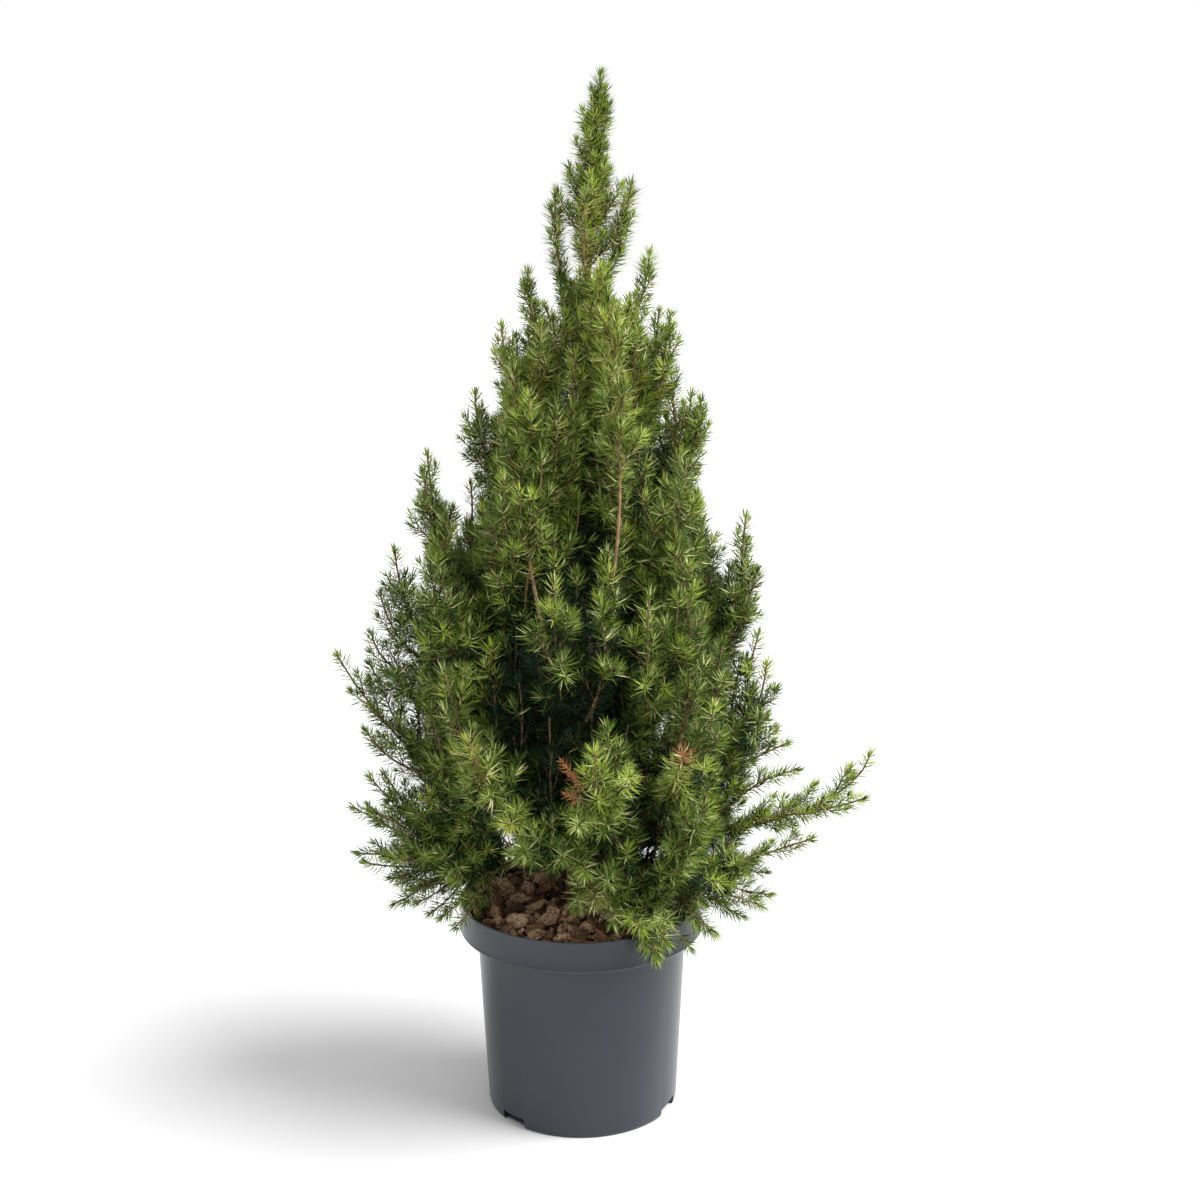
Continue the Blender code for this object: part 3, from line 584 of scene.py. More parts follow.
class Shoot:
    """One twig: a short line, its radii, and how its needles stand."""

    def __init__(self, points, radii, limb, level, needles_from=0.0, density=1.0, needle_share=1.0):
        self.points = points
        self.radii = radii
        self.limb = limb
        self.level = level
        self.needles_from = needles_from
        self.density = density
        self.needle_share = needle_share
        self.length = float(lengths_along(points)[-1])


def across(direction):
    aside = np.cross(direction, UP)
    if np.linalg.norm(aside) < 0.05:
        aside = np.cross(direction, (0.0, 1.0, 0.0))
    aside = unit(aside)
    return aside, np.cross(direction, aside)


def sprout(forward, turn, tilt, rise, flat=1.0):
    """The direction of a twig as it leaves a stem: turned round it and tilted from it."""
    aside, over = across(forward)
    ray = aside * math.cos(turn) + over * math.sin(turn) * flat
    angle = math.radians(tilt)
    return unit(forward * math.cos(angle) + ray * math.sin(angle) + UP * rise)


def arc(root, bend, tip, count):
    share = np.linspace(0.0, 1.0, count)[:, None]
    return (1 - share) ** 2 * root + 2 * share * (1 - share) * bend + share ** 2 * tip


def curved(root, start, end, length, count):
    """A twig's line that leaves along start and turns to end."""
    bend = root + start * (length * 0.5)
    return arc(root, bend, bend + end * (length * 0.5), count)


def side_shoots(limb, own, space, random):
    """Golden-angle shoots up the stem; one that finds no room is cut shorter or skipped."""
    spacing, length_share, bare_leader = limb.habit
    if limb.leader:
        return []
    end_of_stem = limb.length - TIP_SPARE
    covered = end_of_stem - limb.stem_start
    bare_leader = min(bare_leader * limb.half_width / 0.05, 0.4 * covered)
    shoots = []
    pace = spacing * (0.62 + 0.38 * limb.half_width / 0.060)
    distance = limb.stem_start + 0.012 + limb.bare * limb.length
    attempt = 0
    while distance < end_of_stem - bare_leader:
        attempt += 1
        turn = attempt * GOLDEN + own * SIDE_TURN
        forward = limb.direction(distance)
        start = sprout(forward, turn, SIDE_ANGLE + random.uniform(-9, 9), SIDE_RISE)
        end = unit(start * 0.35 + forward * 0.60 + UP * 0.30)
        share = (distance - limb.stem_start) / covered
        room_ahead = (end_of_stem - distance) * SIDE_ROOM
        wanted = length_share * limb.half_width * min(1.0, 0.62 + 1.1 * share) * random.uniform(0.66, 1.15)
        root = limb.point(distance)
        for shrink in SIDE_FIT:
            length = min(wanted * shrink, room_ahead)
            if length < SIDE_LEAST:
                break
            points = curved(root, start, end, length, 5)
            if space.holds(points[2:], own, limb.half_width):
                radius = min(0.0010, 0.0005 + 0.011 * length)
                density = INNER_DENSITY if limb.name == "inner" else 1.0
                radii = np.linspace(radius, 0.0005, 5)
                shoots.append(Shoot(points, radii, own, 1, 0.04, density, limb.needle_share))
                break
        distance += pace * random.uniform(0.75, 1.25)
    return shoots


def sub_twigs(shoot, limb, own, space, random):
    twigs = []
    lengths = lengths_along(shoot.points)
    distance = 0.20 * shoot.length + 0.003
    turn = random.uniform(0, math.tau)
    while distance < 0.86 * shoot.length:
        place = at(shoot.points, lengths, distance)
        before = at(shoot.points, lengths, distance - 0.002)
        forward = unit(place - before)
        turn += GOLDEN
        start = sprout(forward, turn, TWIG_ANGLE + random.uniform(-8, 8), TWIG_RISE, TWIG_FLATNESS)
        end = unit(start * 0.6 + forward * 0.5 + UP * 0.15)
        remaining = shoot.length - distance
        length = min(TWIG_MOST, 0.62 * remaining + 0.007) * random.uniform(0.7, 1.15)
        if length > TWIG_LEAST:
            points = curved(place, start, end, length, 3)
            if space.holds(points[1:], own, limb.half_width * 1.08):
                radii = np.linspace(*TWIG_RADII, 3)
                twigs.append(Shoot(points, radii, own, 2, needle_share=limb.needle_share))
        distance += TWIG_SPACING * random.uniform(0.8, 1.25)
    return twigs


def line_to(root, tip, bearing, tilt, aside=0.0):
    """From a root on a limb out to a tip, where the plume ends tilted so far from upright."""
    outward = bearing_vector(bearing)
    span = np.linalg.norm(tip - root)
    start = unit(outward * 0.80 + UP * 0.45)
    angle = math.radians(tilt)
    end = unit(UP * math.cos(angle) + outward * math.sin(angle) + aside * np.cross(UP, outward))
    points = interpolate_bezier(Vector(root), Vector(root + start * (0.38 * span)),
                                Vector(tip - end * (0.42 * span)), Vector(tip), LIMB_STEPS)
    return np.array(points)


def root_near(limbs, wanted):
    """The point on the trunk or on a limb's inner part that lies nearest to the wanted one."""
    places = [limb.point(np.linspace(0.0, 0.62 * limb.length, 16)) for limb in limbs[1:]]
    places.append(np.array([trunk_point(height) for height in np.linspace(0.24, 0.86, 40)]))
    places = np.concatenate(places)
    return places[np.argmin(np.linalg.norm(places - wanted, axis=1))]


def fill_plumes(limbs, name, count, heights, reaches, random):
    """Lesser plumes spread evenly over the crown by golden-angle steps, each from a limb."""
    steps = np.linspace(*heights, 200)
    area = np.cumsum(crown_radius(steps))
    tips = np.array([limb.line[-1] for limb in limbs])
    plumes = []
    for index in range(count):
        height = float(np.interp((index + 0.5) / count, area / area[-1], steps))
        bearing = (math.degrees(index * GOLDEN) + random.uniform(-FILL_SWAY, FILL_SWAY) + 180) % 360 - 180
        reach = float(crown_radius(height)) * random.uniform(*reaches)
        tip = crown_point(bearing, height, reach)
        if np.linalg.norm(tips - tip, axis=1).min() < FILL_NEAREST:
            continue
        if OPEN_FRONT[0] < bearing < OPEN_FRONT[1] and height < OPEN_FRONT[2]:
            continue
        loose = any(left < bearing < right and low < height < high and (index + 1) % every == 0
                    for left, right, low, high, every in LOOSE_FRONTS)
        if name == "fill" and loose:
            reach *= LOOSE_REACH
            tip = crown_point(bearing, height, reach)
        drop = random.uniform(*FILL_DROP) * float(np.interp(height, (0.25, 0.36), (0.0, 1.0)))
        wanted = crown_point(bearing, max(LOWEST_FILL_ROOT, height - drop), reach * FILL_ROOT_SHARE)
        tilt = float(np.interp(height, *zip(*TILTS))) + random.uniform(-10, 10)
        line = line_to(root_near(limbs, wanted), tip, bearing, tilt, random.uniform(-0.14, 0.14))
        width = FILL_WIDTH * float(np.interp(height, (0.60, 0.90), (1.0, 0.55)))
        plumes.append(Limb(name, line, False, width))
    return plumes


def accent_plumes(limbs):
    plumes = []
    for bearing, height, reach, tilt, half_width, drop, tones in ACCENTS:
        tip = crown_point(bearing, height, reach)
        wanted = crown_point(bearing, max(LOWEST_ACCENT_ROOT, height - drop), reach * 0.5)
        line = line_to(root_near(limbs, wanted), tip, bearing, tilt)
        name = "high" if height > TOP_FROM else "fill"
        plumes.append(Limb(name, line, False, half_width, tones=tones))
    return plumes


def front_stems(limbs):
    plumes = []
    for bare, guides in FRONT_STEMS:
        points = [crown_point(*guide) for guide in guides]
        points[0] = root_near(limbs, points[0])
        line = np.array(interpolate_bezier(*(Vector(point) for point in points), LIMB_STEPS))
        plumes.append(Limb("stem", line, False, FRONT_STEM_WIDTH, bare=bare))
    return plumes


def tuft_twigs(points, length, turn):
    """Small twigs to either side of a tuft's shoot."""
    twigs = []
    lengths = lengths_along(points)
    ray = bearing_vector(turn)
    for step, share in enumerate(TUFT_TWIG_SHARES):
        twig_length = (1.0 - share) * length * 0.50
        if twig_length > TWIG_LEAST:
            aside = bearing_vector(turn + (90 if step % 2 else -90))
            start = unit(UP + aside * 0.9 + ray * 0.2)
            root = at(points, lengths, share * length)
            line = curved(root, start, unit(UP + aside * 0.3), twig_length, 3)
            twigs.append(Shoot(line, np.linspace(*TWIG_RADII, 3), 0, 2))
    return twigs


def leader_tufts(random):
    """Short shoots in whorls close to the top of the trunk, with small twigs of their own."""
    lines = []
    for number, (whorl_height, whorl_length) in enumerate(WHORLS):
        for member in range(WHORL_TUFTS):
            turn = 360.0 * member / WHORL_TUFTS + number * WHORL_TURN + random.uniform(-18, 18)
            ray = bearing_vector(turn)
            root = trunk_point(whorl_height + random.uniform(-0.004, 0.004))
            length = whorl_length * random.uniform(0.62, 1.12)
            tilt = math.radians(WHORL_TILT + random.uniform(-7, 7))
            start = UP * math.cos(tilt) + ray * math.sin(tilt)
            lines.append((curved(root, start, unit(UP + ray * 0.24), length, 5), length, turn))
    for bearing, height, reach in TOP_TUFTS:
        ray = bearing_vector(bearing)
        tip = crown_point(bearing, height, reach)
        root = trunk_point(height - TOP_TUFT_DROP * reach - 0.006)
        length = float(np.linalg.norm(tip - root))
        bend = root * 0.5 + tip * 0.5 + ray * 0.12 * length
        lines.append((arc(root, bend, tip, 5), length, bearing))
    tufts, twigs = [], []
    for points, length, turn in lines:
        radii = np.linspace(*TUFT_RADII, 5)
        tufts.append(Shoot(points, radii, 0, 1, needles_from=TUFT_BARE, density=TUFT_DENSITY))
        twigs += tuft_twigs(points, length, turn)
    return tufts, twigs


def dead_tufts(limbs):
    tufts = []
    for bearing, height, reach in DEAD_TUFTS:
        tip = crown_point(bearing, height, reach)
        root = root_near(limbs, crown_point(bearing, height - 0.05, reach * 0.75))
        start = unit(bearing_vector(bearing) + UP * 0.4)
        points = curved(root, start, unit(tip - root), float(np.linalg.norm(tip - root)), 5)
        points += (tip - points[-1]) * np.linspace(0, 1, 5)[:, None] ** 2
        tufts.append(Shoot(points, np.linspace(0.0009, 0.0005, 5), DEAD, 2, needles_from=DEAD_BARE,
                           needle_share=DEAD_NEEDLE_SHARE))
    return tufts


def grow(limbs):
    random = np.random.default_rng(SEED)
    stems, sides, twigs = [], [], []
    plumes = limbs + fill_plumes(limbs, "fill", FILL_COUNT, FILL_HEIGHTS, FILL_REACH, random)
    plumes += accent_plumes(limbs) + front_stems(limbs)
    plumes += fill_plumes(limbs, "inner", INNER_COUNT, INNER_HEIGHTS, INNER_REACH, random)
    space = Space(plumes)
    for own, limb in enumerate(plumes):
        end = limb.length - (LEADER_SPARE if limb.leader else TIP_SPARE)
        distances = np.linspace(limb.stem_start, end, 14)
        density = INNER_DENSITY if limb.name == "inner" else STEM_DENSITY
        density = TUFT_DENSITY if limb.leader else density
        bare = max(STEM_BARE, limb.bare)
        stems.append(Shoot(limb.point(distances), limb.radius(distances), own, 0, bare, density,
                           limb.needle_share))
        grown = side_shoots(limb, own, space, random)
        sides += grown
        for shoot in grown:
            if shoot.length > TWIGGED_FROM:
                twigs += sub_twigs(shoot, limb, own, space, random)
    tufts, small_twigs = leader_tufts(random)
    sides += tufts + dead_tufts(limbs)
    twigs += small_twigs
    return plumes, stems, sides, twigs


# ---- meshes from arrays

def placed(name, data):
    """A new object in the scene."""
    made = bpy.data.objects.new(name, data)
    bpy.context.scene.collection.objects.link(made)
    return made


def mesh_piece(name, vertices, triangles, material, slot, smooth=False):
    mesh = bpy.data.meshes.new(name)
    vertices = np.asarray(vertices, np.float32)
    triangles = np.asarray(triangles, np.int32)
    mesh.vertices.add(len(vertices))
    mesh.vertices.foreach_set("co", vertices.ravel())
    mesh.loops.add(triangles.size)
    mesh.loops.foreach_set("vertex_index", triangles.ravel())
    mesh.polygons.add(len(triangles))
    mesh.polygons.foreach_set("loop_start", np.arange(0, triangles.size, 3, dtype=np.int32))
    mesh.polygons.foreach_set("use_smooth", np.full(len(triangles), smooth))
    mesh.update(calc_edges=True)
    mesh.materials.append(material)
    piece = placed(name, mesh)
    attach(piece, "root")
    return piece


def tube_faces(rings, sides):
    """Triangles of a tube closed at both ends, whose vertices go ring by ring."""
    faces = []
    for ring in range(rings - 1):
        for side in range(sides):
            a, b = ring * sides + side, ring * sides + (side + 1) % sides
            faces += [(a, b, a + sides), (b, b + sides, a + sides)]
    last = (rings - 1) * sides
    for side in range(1, sides - 1):
        faces += [(0, side + 1, side), (last, last + side, last + side + 1)]
    return np.array(faces)


def joined(parts):
    """One array of vertices and one of faces from many."""
    bases = np.cumsum([0] + [len(vertices) for vertices, _ in parts])
    faces = [faces + base for (_, faces), base in zip(parts, bases)]
    return np.concatenate([vertices for vertices, _ in parts]), np.concatenate(faces)


def tubes(lines, radii, sides):
    """Tapering tubes round many lines of one length, closed at the foot and at the tip."""
    lines = np.asarray(lines)
    radii = np.asarray(radii)
    count, rings, _ = lines.shape
    forward = unit(np.gradient(lines, axis=1))
    mean = unit(lines[:, -1] - lines[:, 0])
    steep = np.abs(mean[:, 2:3]) > 0.9
    helper = np.where(steep, (0.0, 1.0, 0.0), (0.0, 0.0, 1.0))[:, None, :]
    aside = unit(np.cross(forward, helper))
    over = np.cross(forward, aside)
    angles = np.arange(sides) * math.tau / sides
    cosines, sines = np.cos(angles)[:, None], np.sin(angles)[:, None]
    offsets = aside[:, :, None, :] * cosines + over[:, :, None, :] * sines
    vertices = lines[:, :, None, :] + offsets * radii[:, :, None, None]
    faces = tube_faces(rings, sides)[None] + (np.arange(count) * rings * sides)[:, None, None]
    return vertices.reshape(-1, 3), faces.reshape(-1, 3)


def needle_arrays(shoot, random):
    """Root, direction and other facts of each needle on a shoot."""
    usable = shoot.length * (1.0 - shoot.needles_from)
    count = max(6, int(usable / NEEDLE_GAP * shoot.density))
    tip_needles = TIP_NEEDLES[shoot.level]
    share = np.concatenate((np.linspace(shoot.needles_from, 1.0, count),
                            np.linspace(max(0.3, 1.0 - TIP_STRETCH / shoot.length), 1.0, tip_needles),
                            np.linspace(BUD_FROM, 1.0, BUD_NEEDLES[shoot.level])))
    is_bud = np.arange(len(share)) >= count + tip_needles
    distance = share * shoot.length
    lengths = lengths_along(shoot.points)
    roots = at(shoot.points, lengths, distance)
    ahead = at(shoot.points, lengths, np.minimum(distance + 0.001, shoot.length))
    behind = at(shoot.points, lengths, np.maximum(distance - 0.001, 0.0))
    forward = unit(ahead - behind)
    mean = unit(shoot.points[-1] - shoot.points[0])
    helper = np.eye(3)[np.argmin(np.abs(mean))]
    aside = unit(np.cross(forward, helper))
    over = np.cross(forward, aside)
    turn = np.arange(len(share)) * GOLDEN + random.uniform(0, math.tau) + random.normal(0, 0.25, len(share))
    ray = aside * np.cos(turn)[:, None] + over * np.sin(turn)[:, None]
    to_tip = shoot.length - distance
    young = np.clip(1.0 - to_tip / YOUNG_STRETCH, 0.0, 1.0)
    lean = np.radians(NEEDLE_LEAN - YOUNG_UPRIGHTER * young + random.normal(0, LEAN_SPREAD, len(share)))
    lean = np.where(is_bud, np.radians(random.uniform(*BUD_LEAN, len(share))), lean)
    return roots, forward, ray, lean, young, is_bud, to_tip


def needles_of(shoots, random):
    """Vertices of two-faced needles, with the index of the shoot and the distance to its tip."""
    vertices, owners, to_tips = [], [], []
    for index, shoot in enumerate(shoots):
        roots, forward, ray, lean, young, is_bud, to_tip = needle_arrays(shoot, random)
        count = len(roots)
        direction = forward * np.cos(lean)[:, None] + ray * np.sin(lean)[:, None]
        outward = ray * np.cos(lean)[:, None] - forward * np.sin(lean)[:, None]
        size = NEEDLE_LENGTH * (1.0 - YOUNG_SHORTER * young) * random.uniform(*NEEDLE_SPREAD, count)
        size *= float(np.interp(roots[0, 2], *SIZE_BY_HEIGHT))
        size *= shoot.needle_share
        size = np.where(is_bud, size * BUD_SIZE, size)
        tips = roots + direction * size[:, None]
        roll = random.uniform(-NEEDLE_ROLL, NEEDLE_ROLL, count)
        broad = np.cross(direction, outward) * np.cos(roll)[:, None] + outward * np.sin(roll)[:, None]
        middle = roots + direction * (size * NEEDLE_BROADEST)[:, None]
        middle += outward * (NEEDLE_BEND * size)[:, None]
        aside = broad * NEEDLE_WIDTH
        vertices.append(np.stack((roots, tips, middle + aside, middle - aside), axis=1))
        owners.append(np.full(count, index))
        to_tips.append(to_tip)
    return np.concatenate(vertices), np.concatenate(owners), np.concatenate(to_tips)


def clear_of_pot(quads):
    """Whether each needle stays out of the pot's wall, from its root over its middle to its tip."""
    middles = quads[:, 2:].mean(axis=1)
    clear = np.ones(len(quads), bool)
    for start, end in ((quads[:, 0], middles), (middles, quads[:, 1])):
        for share in np.linspace(0.0, 1.0, 15):
            points = start + (end - start) * share
            heights = points[:, 2]
            body = np.interp(heights, (0.0, RIM_UNDERSIDE), (BASE_RADIUS, SHOULDER_RADIUS))
            outer = np.where(heights > RIM_UNDERSIDE, RIM_RADIUS, body)
            depth = outer - np.hypot(points[:, 0], points[:, 1])
            in_wall = (depth > -NEEDLE_WIDTH) & (depth < WALL + NEEDLE_WIDTH)
            clear &= ~(in_wall & (heights < POT_HEIGHT + NEEDLE_WIDTH))
    return clear


def needle_piece(name, quads, material):
    faces = NEEDLE_FACES[None] + (np.arange(len(quads)) * 4)[:, None, None]
    return mesh_piece(name, quads.reshape(-1, 3), faces.reshape(-1, 3), material, "needles")


# ---- materials

def principled(name, colour, roughness, specular=0.5):
    material = bpy.data.materials.new(name)
    material.use_nodes = True
    shader = material.node_tree.nodes["Principled BSDF"]
    shader.inputs["Base Color"].default_value = (*colour, 1.0)
    shader.inputs["Roughness"].default_value = roughness
    shader.inputs["Specular IOR Level"].default_value = specular
    return material


def linear(red, green, blue):
    """A colour given as screen values from 0 to 255."""
    def one(value):
        value /= 255
        return value / 12.92 if value <= 0.04045 else ((value + 0.055) / 1.055) ** 2.4
    return one(red), one(green), one(blue)


def noise_texture(tree, scale, detail):
    coordinates = tree.nodes.new("ShaderNodeTexCoord")
    texture = tree.nodes.new("ShaderNodeTexNoise")
    texture.inputs["Scale"].default_value = scale
    texture.inputs["Detail"].default_value = detail
    tree.links.new(coordinates.outputs["Object"], texture.inputs["Vector"])
    return texture


def roughen(tree, texture, strength, distance):
    bumps = tree.nodes.new("ShaderNodeBump")
    bumps.inputs["Strength"].default_value = strength
    bumps.inputs["Distance"].default_value = distance
    tree.links.new(texture.outputs["Fac"], bumps.inputs["Height"])
    tree.links.new(bumps.outputs["Normal"], tree.nodes["Principled BSDF"].inputs["Normal"])


def noisy(material, dark, light, scale, bump=0.0, detail=6.0, distance=0.001):
    """Mixes two colours by noise, and roughens the surface by the same noise."""
    tree = material.node_tree
    texture = noise_texture(tree, scale, detail)
    ramp = tree.nodes.new("ShaderNodeValToRGB")
    ramp.color_ramp.elements[0].position = 0.32
    ramp.color_ramp.elements[1].position = 0.68
    ramp.color_ramp.elements[0].color = (*dark, 1.0)
    ramp.color_ramp.elements[1].color = (*light, 1.0)
    tree.links.new(texture.outputs["Fac"], ramp.inputs["Fac"])
    tree.links.new(ramp.outputs["Color"], tree.nodes["Principled BSDF"].inputs["Base Color"])
    if bump:
        roughen(tree, texture, bump, distance)
    return material


# ---- foliage

def tones_of(shoot, plumes, random):
    """The tone of a shoot's body and of its tip, by its place in the crown; inner, low and shaded-front
    shoots take darker tones as painted shade.
    """
    if shoot.limb == DEAD:
        return "dead_brown", "dead_brown"
    end = shoot.points[-1]
    outer = np.linalg.norm((end - trunk_point(end[2]))[:2]) / crown_radius(end[2])
    low = end[2] < LOW_BELOW
    middle, outside = (LOW_MIDDLE_TONES, LOW_TONES) if low else (MIDDLE_TONES, OUTER_TONES)
    bearing = math.degrees(math.atan2(end[1], end[0]))
    in_front = SHADED_BEARINGS[0] < bearing < SHADED_BEARINGS[1]
    shade = float(np.interp(end[2], *zip(*SHADED_HEIGHTS))) if in_front else 0.0
    inner_to = INNER_TO + SHADE_DEPTH * shade
    middle_to = MIDDLE_TO + (SHADED_MIDDLE_TO - MIDDLE_TO) * shade
    at_top = end[2] > TOP_FROM
    if at_top:
        choice = TOP_TONES
    else:
        choice = SHADE_TONES if outer < inner_to else middle if outer < middle_to else outside
    body = choice[int(random.random() * len(choice))]
    draw = random.random()
    if end[2] < TOP_FROM and outer < inner_to:
        tip = "grass_green" if draw < INNER_TIP_SHARE else body
    else:
        bright = TOP_BRIGHT_SHARE if at_top else BRIGHT_SHARE
        fresh = LOW_FRESH_SHARE if low else FRESH_SHARE
        tip = "bright_tip" if draw < bright else "fresh_tip" if draw < bright + fresh else "green_tip"
    given = plumes[shoot.limb].tones
    if given:
        body = given[0]
        tip = given[1] if shoot.level == 0 or given[1] not in RARE_TIPS else "fresh_tip"
    return body, tip


def make_foliage(limbs):
    random = np.random.default_rng(SEED + 1)
    plumes, stems, sides, twigs = grow(limbs)
    shoots = stems + sides + twigs
    body, tip = np.array([tones_of(shoot, plumes, random) for shoot in shoots]).T
    quads, owners, to_tips = needles_of(shoots, random)
    tones = np.where(to_tips < TIP_REACH, tip[owners], body[owners])
    # Needles in lit tones may take the pale tone of painted highlight; any living needle may take
    # shade_green, painted shade.
    draw = random.random(len(tones))
    living = tones != "dead_brown"
    lit = living & ~np.isin(tones, SHADE_TONES)
    tones = np.where(lit & (draw < GLINT_SHARE), "glint_green", tones)
    tones = np.where(living & (draw > 1 - SHADE_SHARE), "shade_green", tones)
    tones = np.where(clear_of_pot(quads), tones, "")
    masses = [f"mass_{limb.name}" for limb in limbs]
    for tone, colour in TONES.items():
        chosen = quads[tones == tone]
        specular = DARK_SPECULAR if tone in SHADE_TONES else NEEDLE_SPECULAR
        material = principled(f"needles {tone}", linear(*colour), NEEDLE_ROUGHNESS, specular)
        for number, start in enumerate(range(0, len(chosen), MOST_NEEDLES), start=1):
            piece = needle_piece(f"needles_{tone}_{number}", chosen[start:start + MOST_NEEDLES], material)
            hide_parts(*masses)
    bark = young_bark()
    for name, group, edges in (("stems", stems, 4), ("side_twigs", sides, 3), ("fine_twigs", twigs, 3)):
        vertices, faces = tubes([s.points for s in group], [s.radii for s in group], edges)
        piece = mesh_piece(name, vertices, faces, bark, "bark", smooth=True)
        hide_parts(*masses)


def young_bark():
    return noisy(principled("young bark", linear(150, 120, 76), 0.7, 0.3),
                 linear(78, 60, 41), linear(142, 117, 82), 150.0)


def relief_tube(points, radius_at, sides, seed, depth):
    """Vertices and faces of a limb with ridged bark."""
    rings = len(points)
    forward = unit(np.gradient(points, axis=0))
    mean = unit(points[-1] - points[0])
    helper = np.array((0.0, 1.0, 0.0)) if abs(mean[2]) > 0.9 else UP
    vertices = []
    for ring in range(rings):
        aside = unit(np.cross(forward[ring], helper))
        over = np.cross(forward[ring], aside)
        for side in range(sides):
            angle = math.tau * side / sides
            ray = aside * math.cos(angle) + over * math.sin(angle)
            at_surface = points[ring] + ray * radius_at(ring, ray)
            place = Vector(at_surface * RIDGE_SCALE) + Vector((seed, 0, 0))
            place.z *= RIDGE_STRETCH
            ridges = noise.noise(place) + 0.5 * noise.noise(place * 2.3)
            vertices.append(at_surface + ray * (ridges * depth))
    return np.array(vertices), tube_faces(rings, sides)


def bark_material():
    material = principled("old bark", linear(84, 58, 42), 0.9, 0.2)
    return noisy(material, linear(48, 34, 27), linear(120, 88, 64), 220.0, 0.6, 8.0, 0.0008)


def make_wood(limbs):
    material = bark_material()
    heights = TRUNK_FOOT + (TRUNK_TOP + TRUNK_OVERLAP - TRUNK_FOOT) * np.linspace(0.0, 1.0, TRUNK_RINGS)
    points = np.array([trunk_point(height) for height in heights])

    def radius_at(ring, ray):
        return trunk_radius(heights[ring], math.atan2(ray[1], ray[0]))

    vertices, faces = relief_tube(points, radius_at, TRUNK_SIDES, TRUNK_SEED, TRUNK_RELIEF)
    trunk = mesh_piece("trunk_bark", vertices, faces, material, "bark", smooth=True)
    trunk.data.materials.append(young_bark())
    is_young = vertices[faces[:, 0], 2] > YOUNG_BARK_FROM
    trunk.data.polygons.foreach_set("material_index", is_young.astype(np.int32))
    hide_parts("trunk")
    parts = []
    for index, limb in enumerate(limbs):
        if limb.own_bough:
            distances = np.linspace(0.0, limb.stem_start + BOUGH_OVERLAP, BOUGH_RINGS)
            radii = limb.radius(distances)
            parts.append(relief_tube(limb.point(distances), lambda ring, ray: radii[ring], BOUGH_SIDES,
                                     index, BOUGH_RELIEF))
    boughs = mesh_piece("boughs_bark", *joined(parts), material, "bark", smooth=True)
    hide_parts(*[f"bough_{limb.name}" for limb in limbs if limb.own_bough])


# ---- pot and mulch

def turned_faces(rings, steps):
    """Faces of a closed turned mesh: its first end, its rings one by one, and its last end."""
    faces = []
    last = 1 + (rings - 1) * steps
    for side in range(steps):
        after = (side + 1) % steps
        faces.append((0, 1 + side, 1 + after))
        for ring in range(1, last, steps):
            a, b = ring + side, ring + after
            faces.append((a, a + steps, b + steps, b))
        faces.append((last + side, last + steps, last + after))
    return faces


def spun(name, profile, steps):
    """A closed turned mesh from (radius, height) points, listed from the axis round to the axis."""
    rings = profile[1:-1]
    angles = np.arange(steps) * math.tau / steps
    vertices = [(0.0, 0.0, profile[0][1])]
    for radius, height in rings:
        vertices += [(radius * math.cos(a), radius * math.sin(a), height) for a in angles]
    vertices.append((0.0, 0.0, profile[-1][1]))
    mesh = bpy.data.meshes.new(name)
    mesh.from_pydata(vertices, [], turned_faces(len(rings), steps))
    return placed(name, mesh)


def pot_profile():
    """Up the inside, over the rim and down the outside, with the rounding of each edge."""
    rim, under, top = RIM_RADIUS, RIM_UNDERSIDE, POT_HEIGHT
    return [
        (0.0, FLOOR), (BASE_RADIUS - WALL - 0.004, FLOOR), (BASE_RADIUS - WALL, FLOOR + 0.004),
        (SHOULDER_RADIUS - WALL, under - 0.004), (SHOULDER_RADIUS, under + WALL),
        (rim - WALL - 0.003, under + WALL), (rim - WALL - 0.0008, under + WALL + 0.004),
        (rim - WALL, top - 0.004), (rim - WALL, top - 0.0007), (rim - WALL + 0.0006, top),
        (rim - 0.0006, top), (rim, top - 0.0007), (rim, top - 0.004),
        (rim - 0.0004, under + 0.0040), (rim + 0.0003, under + 0.0028), (rim + 0.0002, under + 0.0016),
        (rim - 0.0006, under + 0.0005), (rim - 0.0018, under), (SHOULDER_RADIUS + 0.0022, under),
        (SHOULDER_RADIUS, under - 0.0020),
        (BASE_RADIUS + 0.0006, 0.0040), (BASE_RADIUS - 0.0002, 0.0012), (BASE_RADIUS - 0.0014, 0.0),
        (0.0, 0.0),
    ]


def plastic_material():
    material = principled("pot plastic", linear(30, 36, 45), 0.36, 0.38)
    noisy(material, linear(27, 33, 42), linear(34, 40, 48), 9.0)
    tree = material.node_tree
    shader = tree.nodes["Principled BSDF"]
    shader.inputs["Coat Weight"].default_value = 0.3
    shader.inputs["Coat Roughness"].default_value = 0.16
    roughen(tree, noise_texture(tree, 900.0, 2.0), 0.06, 0.0004)
    return material


def slot_cutter(name, bearing):
    """A block through the pot's foot, its upper edges rounded."""
    cage = bmesh.new()
    bmesh.ops.create_cube(cage, size=1.0)
    bmesh.ops.scale(cage, vec=(4 * SLOT_DEPTH, SLOT_WIDTH, 2 * SLOT_HEIGHT), verts=cage.verts)
    upper = [edge for edge in cage.edges if all(vertex.co.z > 0 for vertex in edge.verts)]
    inward = [edge for edge in upper if abs((edge.verts[0].co - edge.verts[1].co).x) > SLOT_DEPTH]
    bmesh.ops.bevel(cage, geom=inward, offset=SLOT_ROUNDING, segments=4, affect="EDGES", profile=0.5)
    mesh = bpy.data.meshes.new("slot")
    cage.to_mesh(mesh)
    cage.free()
    cutter = placed(name, mesh)
    cutter.location = bearing_vector(bearing) * (BASE_RADIUS + SLOT_DEPTH)
    cutter.rotation_euler.z = math.radians(bearing)
    return cutter


